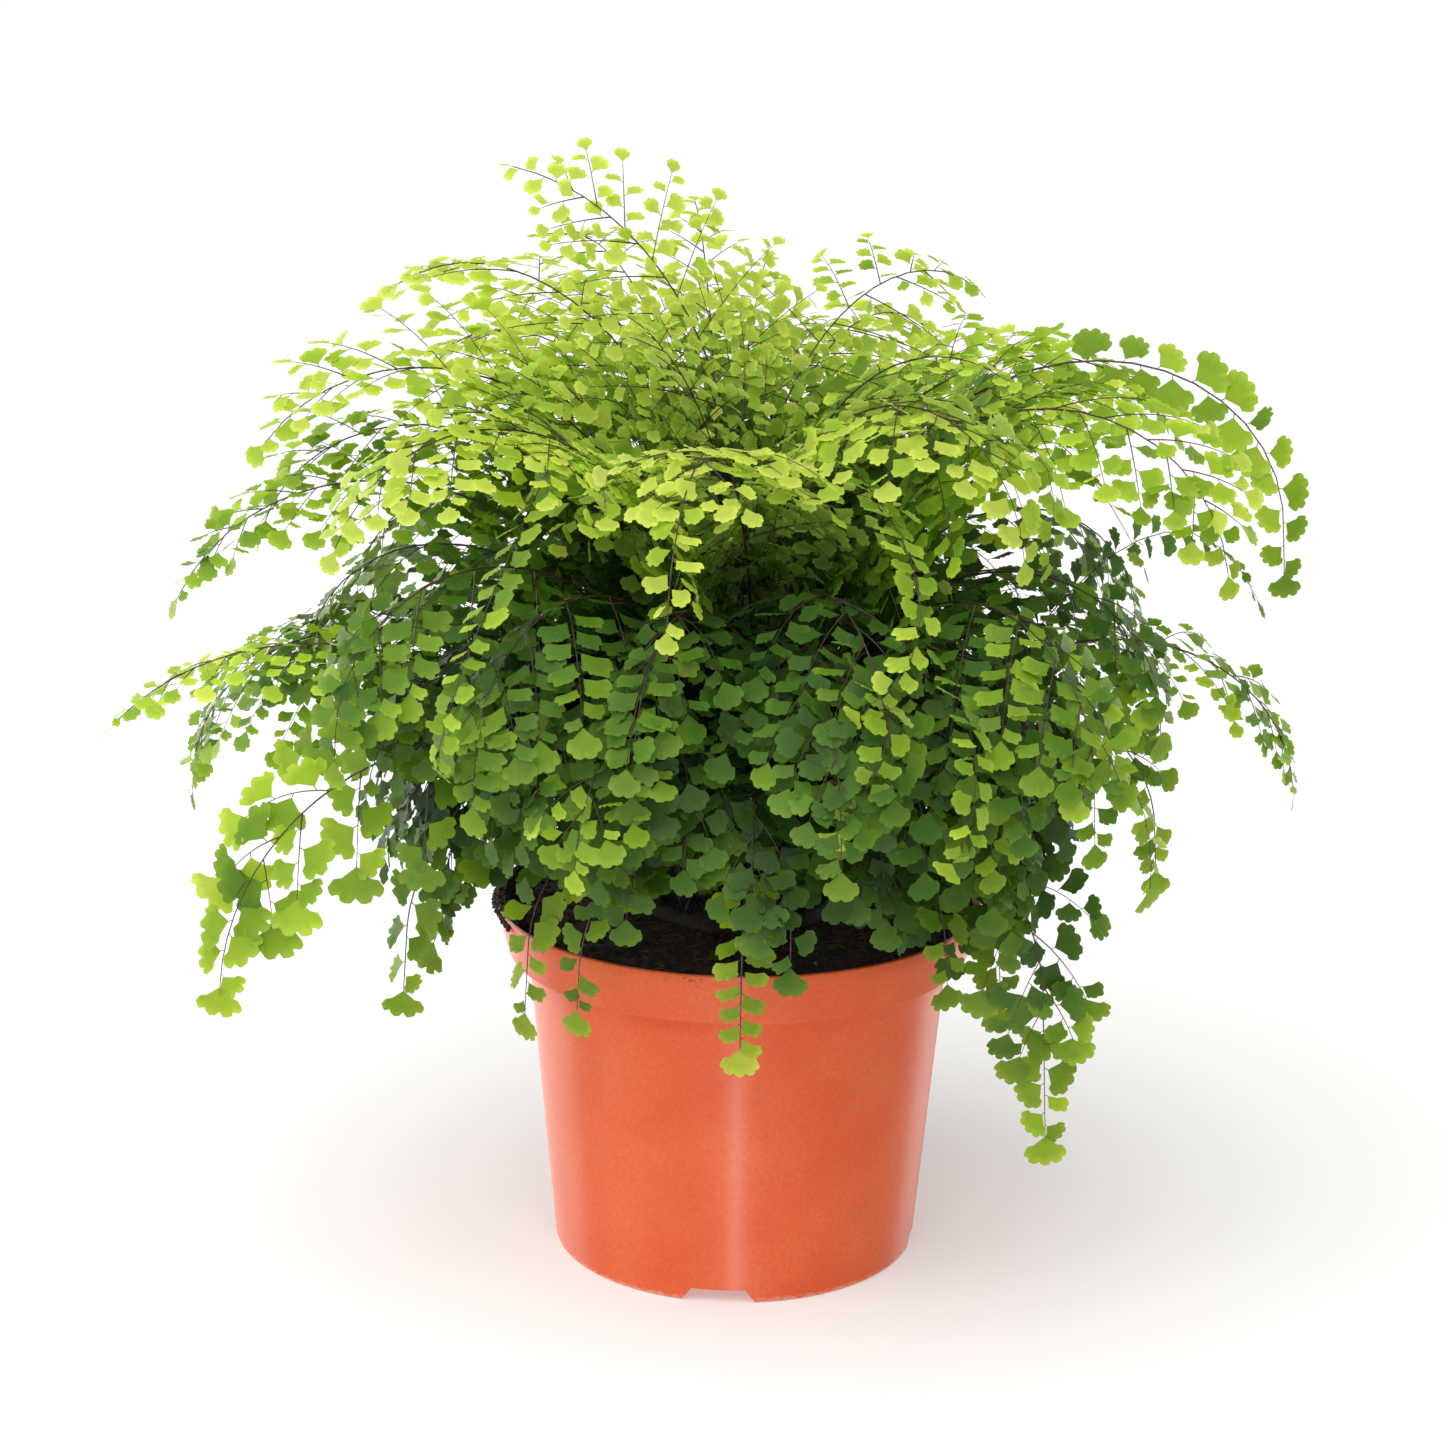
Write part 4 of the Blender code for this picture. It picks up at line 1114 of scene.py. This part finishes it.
def soil_height(x, y):
    """Height of the peat's surface: level in the middle, lower at the rim, crumbled at three sizes."""
    fall = max(0.0, (math.hypot(x, y) - SOIL_LEVEL) / (SOIL_RADIUS - SOIL_LEVEL))
    at = Vector((x, y, 0.3))
    rough = 0.0011 * noise.noise(at * 70) + 0.0008 * noise.noise(at * 190) + 0.0005 * noise.noise(at * 420)
    return SOIL_TOP + (SOIL_EDGE - SOIL_TOP) * fall + rough * min(1.0, 0.35 + fall * 1.6)


def rim_heap(x, y):
    """Height of the sheet that the spilt peat is scattered over: it heaps on the rim and falls away outside."""
    out = math.hypot(x, y) - (RIM_RADIUS - 0.004)
    turn = math.degrees(math.atan2(y, x)) % 360
    middle = 1 - abs(turn - (SPILL_FIRST + SPILL_LAST) / 2) / ((SPILL_LAST - SPILL_FIRST) / 2)
    heap = 0.0012 * min(1.0, 2.5 * middle)
    return POT_HEIGHT + heap - 0.0035 * max(0.0, out / 0.005) ** 2 - (0.003 if out < -0.001 else 0)


def soil_body(material):
    """The peat that fills the pot: a closed plug with a crumbled top."""
    shelf, floor, slack = LEDGE + WALL + SOIL_GAP, FLOOR_TOP + SOIL_GAP, WALL + SOIL_GAP
    rings = 46
    profile = [(0, SOIL_EDGE)] + [(SOIL_RADIUS * (i + 1) / rings, SOIL_EDGE) for i in range(rings)]
    profile += [(rim_radius(shelf) - slack, shelf), (body_radius(LEDGE) - slack, shelf)]
    profile += [(body_radius(FLOOR_TOP) - slack, floor), (0, floor)]

    def crumbled(radius, z, turn):
        return radius, soil_height(radius * math.cos(turn), radius * math.sin(turn)) if z == SOIL_EDGE else z

    return mesh_object("peat_body", turned(profile, 144, crumbled), material)


def lump(rng):
    """A broken crumb about 1 across."""
    bm = bmesh.new()
    bmesh.ops.create_icosphere(bm, subdivisions=1, radius=0.5)
    for vert in bm.verts:
        vert.co *= rng.uniform(0.65, 1.15)
        vert.co.z *= 0.7
    return bm


def tube(points, radii, sides=3):
    """A closed tube through points, tapering by its radii."""
    bm = bmesh.new()
    rings = []
    for i, (point, radius) in enumerate(zip(points, radii)):
        ahead = unit(np.subtract(points[min(len(points) - 1, i + 1)], points[max(0, i - 1)]))
        side = unit(np.cross(ahead, (0.13, 0.21, 0.97)))
        up = np.cross(side, ahead)
        turns = [2 * math.pi * k / sides for k in range(sides)]
        rings.append([bm.verts.new(np.array(point) + radius * (side * math.cos(a) + up * math.sin(a))) for a in turns])
    bm.faces.new(rings[0])
    bm.faces.new(rings[-1])
    bridge(bm, rings)
    bmesh.ops.recalc_face_normals(bm, faces=bm.faces)
    return bm


def fibre(rng):
    """A curved shred of coir 1 long."""
    bend, lift = rng.uniform(-0.25, 0.25), rng.uniform(0.02, 0.16)
    points = [(t - 0.5, bend * math.sin(3 * t + bend), lift * math.sin(math.pi * t)) for t in (0, 0.25, 0.5, 0.75, 1)]
    return tube(points, (0.012, 0.02, 0.022, 0.018, 0.008))


def stub(rng):
    """The cut foot of an old stem, 1 high."""
    lean, turn = rng.uniform(0.05, 0.35), rng.uniform(0, 2 * math.pi)
    points = [(lean * t * t * math.cos(turn), lean * t * t * math.sin(turn), t - 0.15) for t in (0, 0.4, 0.8, 1.15)]
    return tube(points, (0.085, 0.07, 0.06, 0.055), 5)


def scale_hair(rng):
    """A papery brown scale of the rootstock, 1 long and standing half up."""
    bm = bmesh.new()
    width, lift = rng.uniform(0.10, 0.2), rng.uniform(0.3, 0.8)
    foot, ridge, tip = ((0, 0, -0.1), (0.35, 0, lift * 0.4), (1, rng.uniform(-0.2, 0.2), lift))
    corners = (foot, ridge, tip, (0.3, width, lift * 0.25), (0.3, -width, lift * 0.25))
    foot, ridge, tip, left, right = (bm.verts.new(corner) for corner in corners)
    for face in ((foot, right, ridge), (foot, ridge, left), (right, tip, ridge), (ridge, tip, left)):
        bm.faces.new(face)
    return bm


def scatter_source(name, make, rng, count):
    """A collection of small shapes, each made with its own random variation."""
    return collected(name, [mesh_from(f"{name}_{i}", make(rng), smooth=False) for i in range(count)])


def scattered(name, slot, tree, ground, *values):
    """Scatter pieces over a ring or part of one, whose ground is its two turns, its radii and its height at a place."""
    first, last, reaches, height = ground
    bm = bmesh.new()
    cells = 72
    rings = []
    for radius in reaches:
        turns = [math.radians(first + (last - first) * k / cells) for k in range(cells + 1)]
        spots = [(radius * math.cos(turn), radius * math.sin(turn)) for turn in turns]
        rings.append([bm.verts.new((x, y, height(x, y))) for x, y in spots])
    bridge(bm, rings, closed=False)
    names = ("pieces", "density", "smallest", "largest", "tilt", "seed", "finish")
    seat(finished_by(mesh_object(name + "_ground", bm), tree, name, **dict(zip(names, values))))


def studio_light(name, where, towards, size, power, glint=False):
    """A soft rectangular lamp aimed at a point, unseen by the camera. A glint only shows in what is glossy."""
    lamp = bpy.data.lights.new(name, "AREA")
    lamp.shape = "RECTANGLE"
    lamp.size, lamp.size_y = size
    lamp.energy = power
    made = link(bpy.data.objects.new(name, lamp))
    aim = Vector(towards) - Vector(where)
    made.matrix_world = Matrix.Translation(where) @ aim.to_track_quat("-Z", "Y").to_matrix().to_4x4()
    made.visible_camera = False
    made.visible_diffuse = made.visible_transmission = not glint


def place_camera():
    """The camera: its place, downward pitch, yaw and roll, and its lens on a 36 mm sensor."""
    pitch, yaw, roll = (math.radians(a) for a in (CAMERA_PITCH, CAMERA_YAW, CAMERA_ROLL))
    ahead = Vector((math.sin(yaw) * math.cos(pitch), math.cos(yaw) * math.cos(pitch), -math.sin(pitch)))
    right = ahead.cross(Vector((0, 0, 1))).normalized()
    up = right.cross(ahead)
    axes = (math.cos(roll) * right + math.sin(roll) * up, math.cos(roll) * up - math.sin(roll) * right, -ahead)
    lens = bpy.data.cameras.new("camera")
    lens.sensor_width = 36
    lens.lens = CAMERA_LENS
    camera = link(bpy.data.objects.new("camera", lens))
    camera.matrix_world = Matrix.Translation(CAMERA_PLACE) @ Matrix(axes).transposed().to_4x4()
    bpy.context.scene.camera = camera


def tint(name, description, hex_colour):
    """A colour property with an sRGB hex default."""
    return FloatVectorProperty(
        name=name, description=description, default=linear(hex_colour), subtype="COLOR", size=4, min=0, max=1
    )


def measure(kind, name, description, default, **limits):
    """A number property, from 0 up unless its limits say otherwise."""
    return kind(name=name, description=description, default=default, **{"min": 0, **limits})


class StageSettings(bpy.types.PropertyGroup):
    """The floor and the lamps."""

    floor: tint("Floor", "Colour of the studio floor", "#d2d2d0")
    glow: measure(FloatProperty, "Floor glow", "Light that comes up through the floor", 0.34)
    sky: measure(FloatProperty, "Surround", "Brightness of the white surround", 0.31)
    key: measure(FloatProperty, "Overhead lamp", "Strength of the lamp above", 2.75)
    softness: measure(FloatProperty, "Softness", "Width of the lamp above in degrees", 70, max=180)
    side: measure(FloatProperty, "Left lamp", "Power of the lamp on the left", 4, unit="POWER")
    front: measure(FloatProperty, "Front lamp", "Power of the narrow lamp in front", 16, unit="POWER")
    edge: measure(FloatProperty, "Edge lamp", "Power of the lamps behind", 22, unit="POWER")


class PotSettings(bpy.types.PropertyGroup):
    """Sizes and colours of the pot."""

    colour: tint("Plastic", "Colour of the plastic", "#e5622f")
    deep: tint("Dark clumps", "Colour of the darker pigment clumps", "#dd5426")
    pale: tint("Pale clumps", "Colour of the paler pigment clumps", "#ea7443")
    scuff: tint("Scuffs", "Colour where the foot's edge is rubbed", "#efb59c")
    dirt: tint("Peat dust", "Colour of the dust near the rim", "#5a2c19")
    gloss: measure(FloatProperty, "Roughness", "Roughness of the satin plastic", 0.44, max=1)
    segments: measure(IntProperty, "Segments", "Flats round the pot", 176, min=24, max=360)


class SoilSettings(bpy.types.PropertyGroup):
    """Sizes and colours of the peat and the rootstock."""

    crumbs: measure(IntProperty, "Crumbs", "Crumbs in a square metre", 95000)
    fibres: measure(IntProperty, "Fibres", "Fibres in a square metre", 42000)
    crumb_size: measure(
        FloatProperty, "Largest crumb", "Width of the largest crumb", 0.0036, min=0.0005, unit="LENGTH"
    )
    fibre_length: measure(
        FloatProperty, "Longest fibre", "Length of the longest fibre", 0.011, min=0.001, unit="LENGTH"
    )
    wet: tint("Damp peat", "Colour of the peat's hollows", "#1c0f08")
    peat: tint("Peat", "Colour of the peat", "#3a2416")
    dry: tint("Dry peat", "Colour of the peat's drier grains", "#744629")
    coir: tint("Fibres", "Colour of the coir fibres", "#a3602f")
    grit: tint("Grit", "Colour of the pale grains", "#b9aa96")
    bark: tint("Rootstock", "Colour of the rootstock", "#33241a")
    seed: measure(IntProperty, "Seed", "Seed of the scatter", 4)


class FrondSettings(bpy.types.PropertyGroup):
    """Sizes and colours of the fronds."""

    leaflet_scale: measure(FloatProperty, "Leaflet size", "Leaflet size over its usual size", 1.0, min=0.1, max=3)
    stem_scale: measure(FloatProperty, "Stem thickness", "Stem thickness over its usual one", 1.0, min=0.1, max=4)
    stem_sides: measure(IntProperty, "Stem sides", "Flats round a stem", 4, min=3, max=12)
    glow: measure(FloatProperty, "Glow", "Share of the light that passes through", 0.38, max=1)
    oldest: tint("Oldest leaflets", "Colour of the oldest leaflets", "#284a17")
    old: tint("Old leaflets", "Colour of old leaflets", "#517a22")
    ripe: tint("Ripe leaflets", "Colour of grown leaflets", "#86aa2c")
    young: tint("Young leaflets", "Colour of young leaflets", "#adcb3e")
    youngest: tint("Youngest leaflets", "Colour of the youngest leaflets", "#c8da58")
    dark: tint("Stems", "Colour of the stems", "#20130b")
    light: tint("Stem streaks", "Colour of the stems' paler streaks", "#54341e")
    seed: measure(IntProperty, "Seed", "Seed of the leaflets' variation", 11)


class FERN_OT_stage(bpy.types.Operator):
    """Set the pale floor, the soft lamps and the camera"""

    bl_idname = "fern.stage"
    bl_label = "Stage"

    def execute(self, context):
        own, scene = context.scene.fern_stage, context.scene
        scene.view_settings.view_transform = "Standard"
        place_camera()
        # Opal acrylic lit from below: an even, near white floor on which shadows stay faint
        material, tree, where = new_material("lit_opal_acrylic")
        soft = add(tree, "TexNoise", {"Vector": where, "Scale": 0.7, "Detail": 2.0})
        finish = {
            "Base Color": ramp(tree, soft, (0.3, own.floor), (0.7, "#d6d6d5")), "Roughness": 0.8,
            "Emission Color": linear("#ffffff"), "Emission Strength": own.glow,
        }
        add(tree, "OutputMaterial", {"Surface": add(tree, "BsdfPrincipled", finish)})
        bm = bmesh.new()
        bmesh.ops.create_grid(bm, x_segments=8, y_segments=8, size=14)
        floor = mesh_object("floor", bm, material)
        scene.world = bpy.data.worlds.new("surround")
        scene.world.use_nodes = True
        sky = scene.world.node_tree.nodes["Background"]
        sky.inputs["Color"].default_value = linear("#ffffff")
        sky.inputs["Strength"].default_value = own.sky
        lamp = bpy.data.lights.new("overhead_lamp", "SUN")
        lamp.energy = own.key
        lamp.angle = math.radians(own.softness)
        made = link(bpy.data.objects.new("overhead_lamp", lamp))
        made.rotation_euler = (math.radians(22), math.radians(-10), 0)
        studio_light("left_lamp", (-1.3, -0.5, 0.7), (0, 0, 0.15), (0.7, 1.2), own.side)
        studio_light("front_lamp", (0.02, -1.7, 0.55), (0, 0, 0.08), (0.05, 0.9), own.front, glint=True)
        studio_light("left_edge_lamp", (-1.0, 0.8, 0.40), (0, 0, 0.08), (1.4, 1.0), own.edge, glint=True)
        studio_light("right_edge_lamp", (1.1, 0.9, 0.40), (0, 0, 0.08), (0.7, 1.0), own.edge * 0.5, glint=True)
        return {"FINISHED"}


class FERN_OT_pot(bpy.types.Operator):
    """Make the moulded pot with its notches and drain holes"""

    bl_idname = "fern.pot"
    bl_label = "Pot"

    def execute(self, context):
        own = context.scene.fern_pot
        blank = mesh_object("pot_blank", turned(pot_section(), own.segments), pot_material(own))
        cutter = pot_cutter()
        cut = blank.modifiers.new("notches_and_drains", "BOOLEAN")
        cut.object = cutter
        cut.operation = "DIFFERENCE"
        pot = plain(blank, "pot_shell")
        bpy.data.objects.remove(cutter)
        pot.data.shade_smooth()
        pot.data.set_sharp_from_angle(angle=math.radians(35))
        seat(pot, "pot")
        return {"FINISHED"}


class FERN_OT_soil(bpy.types.Operator):
    """Fill the pot with peat, its crumbs, fibres and grit, and the crust over the rim"""

    bl_idname = "fern.soil"
    bl_label = "Soil"

    def execute(self, context):
        own = context.scene.fern_soil
        # Damp peat: nearly black, dull and crumbly, with redder dry grains
        browns = [(0.32, own.wet), (0.52, own.peat), (0.74, own.dry)]
        peat = grainy_material("damp_peat", browns, 0.004, (0.78, 0.95), 0.0008)
        # Coir fibre: dry, reddish and dull. Grit: pale and dull
        reds = [(0.3, "#4a2a1a"), (0.7, own.coir)]
        coir = grainy_material("coir_fibre", reds, 0.003, (0.68, 0.85), 0.0001)
        stone = grainy_material("pale_grit", [(0.3, "#8d8070"), (0.7, own.grit)], 0.0008, (0.68, 0.85), 0.0001)
        seat(soil_body(peat), "soil")
        rng, tree = random.Random(own.seed), scatter_tree()
        lumps, shreds = scatter_source("crumb", lump, rng, 5), scatter_source("shred", fibre, rng, 5)
        inside = [0.004 + 0.0865 * i / 30 for i in range(31)]
        lip = [RIM_RADIUS + out for out in (-0.0065, -0.004, -0.002, 0.0003, 0.0008)]
        level = (0, 360, inside, soil_height)
        raised = (0, 360, inside, lambda x, y: soil_height(x, y) + 0.0003)
        crust = (SPILL_FIRST, SPILL_LAST, lip, rim_heap)
        shorter = (SPILL_FIRST + 3, SPILL_LAST - 3, lip[1:], rim_heap)
        # Name, ground, pieces, how many in a square metre, smallest, largest, tilt, seed and finish
        for name, ground, *rest in (
            ("peat_crumbs", level, lumps, float(own.crumbs), 0.0006, own.crumb_size, 3.0, own.seed, peat),
            ("coir_fibres", raised, shreds, float(own.fibres), 0.0025, own.fibre_length, 0.35, own.seed + 1, coir),
            ("peat_spill", crust, lumps, 1400000.0, 0.0008, 0.0028, 3.0, own.seed + 2, peat),
            ("spilt_fibres", shorter, shreds, 260000.0, 0.003, 0.008, 0.8, own.seed + 3, coir),
        ):
            scattered(name, "soil", tree, ground, *rest)
        grains = bmesh.new()
        for x, y, size in GRAINS:
            for vert in bmesh.ops.create_icosphere(grains, subdivisions=2, radius=size)["verts"]:
                vert.co *= 1 + 0.35 * noise.noise(vert.co * 900 + Vector((x, y, 0)) * 50)
                vert.co += Vector((x, y, soil_height(x, y) + size * 0.7))
        seat(mesh_object("pale_grains", grains, stone))
        discard(lumps, shreds)
        return {"FINISHED"}


class FERN_OT_rootstock(bpy.types.Operator):
    """Make the scaly rootstock with the stubs of old stems"""

    bl_idname = "fern.rootstock"
    bl_label = "Rootstock"

    def execute(self, context):
        own = context.scene.fern_soil
        # Rootstock bark: dark brown, dull and rough with old scales
        browns = [(0.3, "#17100b"), (0.55, own.bark), (0.75, "#5a4230")]
        bark = grainy_material("scaly_rootstock", browns, 0.003, (0.73, 0.90), 0.0006)
        low, high, wide = RHIZOME_FOOT, RHIZOME_TOP, MOUND_RADIUS
        section = [(wide * 0.9 * i / 14, high) for i in range(15)]
        section += [(wide * 0.95, high - 0.0008), (wide * 0.985, high - 0.0025), (wide, high - 0.0045)]
        section += [(wide, low), (0, low)]

        def knobbly(radius, z, turn):
            out = radius * (1 + 0.05 * math.sin(3 * turn) + 0.03 * math.sin(7 * turn + 1))
            at = Vector((out * math.cos(turn), out * math.sin(turn), 1.0))
            sink = 0.0012 * abs(noise.noise(at * 110)) + 0.0006 * abs(noise.noise(at * 320))
            return out, z - sink if z > low else z

        seat(mesh_object("rootstock_mound", turned(section, 96, knobbly), bark), "rhizome")
        rng, tree = random.Random(own.seed), scatter_tree()
        scales, stubs = scatter_source("scale", scale_hair, rng, 4), scatter_source("stub", stub, rng, 4)
        ground = (0, 360, [0.002 + 0.0395 * i / 12 for i in range(13)], lambda x, y: high - 0.0008)
        for name, *rest in (
            ("rootstock_scales", scales, 420000.0, 0.002, 0.006, 0.5, own.seed + 5, bark),
            ("old_stem_stubs", stubs, 14000.0, 0.008, 0.030, 0.25, own.seed + 6, bark),
        ):
            scattered(name, "rhizome", tree, ground, *rest)
        discard(scales, stubs)
        return {"FINISHED"}


class FERN_OT_fronds(bpy.types.Operator):
    """Grow every frond from its foot on the rootstock, and lay the fallen leaflets"""

    bl_idname = "fern.fronds"
    bl_label = "Fronds"

    def execute(self, context):
        own = context.scene.fern_fronds
        # Fern stem, hard and naturally varnished: nearly black, brown where it thins, with a small soft shine
        browns = [(0.35, own.dark), (0.70, own.light)]
        grain = dict(strength=0.3, ior=1.5, detail=3.0, fine=0.5)
        stem = grainy_material("varnished_fern_stem", browns, 1 / 260, (0.40, 0.58), 0.00005, **grain)
        shapes = collected("leaflet_shapes", [leaflet_mesh(f"leaflet_{i}", *row[1:]) for i, row in enumerate(SHAPES)])
        tree, rng = frond_tree(), random.Random(own.seed)
        sizes = dict(
            leaflet_shapes=shapes, leaflet_scale=own.leaflet_scale, stem_scale=own.stem_scale,
            stem_sides=own.stem_sides, leaf_finish=leaf_material(own), stem_finish=stem,
        )

        def finished(skeleton, name, node=None):
            seat(finished_by(skeleton.object(name + "_wire"), tree, name, **sizes), node)

        for number, frond in enumerate(plan_fronds(), 1):
            node = f"frond_{number:02}"
            finished(frond_skeleton(number, frond, rng), node + "_foliage", node)
        for place, group in enumerate(undergrowth(rng), 1):
            skeleton = Skeleton()
            for frond in group:
                frond_skeleton(0, frond, rng, skeleton)
            finished(skeleton, f"undergrowth_{place}")
        litter = Skeleton()
        for x, y, size, turn in FALLEN:
            ahead = heading(math.radians(turn), 0.10)
            face = unit(np.cross(np.cross(ahead, (0.1, 0.05, 1.0)), ahead))
            litter.stand(np.array([x, y, soil_height(x, y) + 0.0022]), ahead, face, size, "wing", 0.5, 0.5)
        # The tree needs a run of stem, so one of a millimetre lies among the scales
        litter.stem([(0.030, 0.0, RHIZOME_TOP), (0.0305, 0.0002, RHIZOME_TOP + 0.001)], (0.0003, 0.0002))
        finished(litter, "fallen_leaflets")
        discard(shapes)
        return {"FINISHED"}


class FERN_PT_panel(bpy.types.Panel):
    """Lists the fern's pieces and their settings"""

    bl_idname = "FERN_PT_panel"
    bl_label = "Potted Fern"
    bl_space_type = "VIEW_3D"
    bl_region_type = "UI"
    bl_category = "Fern"

    def draw(self, context):
        for operator, group in STEPS:
            box = self.layout.box()
            box.operator(operator.bl_idname)
            settings = getattr(context.scene, group)
            for name in settings.__annotations__:
                box.prop(settings, name)


GROUPS = {
    "fern_stage": StageSettings,
    "fern_pot": PotSettings,
    "fern_soil": SoilSettings,
    "fern_fronds": FrondSettings,
}
STEPS = [
    (FERN_OT_stage, "fern_stage"),
    (FERN_OT_pot, "fern_pot"),
    (FERN_OT_soil, "fern_soil"),
    (FERN_OT_rootstock, "fern_soil"),
    (FERN_OT_fronds, "fern_fronds"),
]


def register():
    """Register the settings, the operators and the panel."""
    for name, group in GROUPS.items():
        bpy.utils.register_class(group)
        setattr(bpy.types.Scene, name, PointerProperty(type=group))
    for operator, _ in STEPS:
        bpy.utils.register_class(operator)
    bpy.utils.register_class(FERN_PT_panel)


def unregister():
    """Undo register."""
    bpy.utils.unregister_class(FERN_PT_panel)
    for operator, _ in STEPS:
        bpy.utils.unregister_class(operator)
    for name, group in GROUPS.items():
        delattr(bpy.types.Scene, name)
        bpy.utils.unregister_class(group)


def main():
    """Build every piece in order."""
    register()
    bpy.ops.fern.stage()
    bpy.ops.fern.pot()
    bpy.ops.fern.soil()
    bpy.ops.fern.rootstock()
    bpy.ops.fern.fronds()


if __name__ == "__main__":
    main()
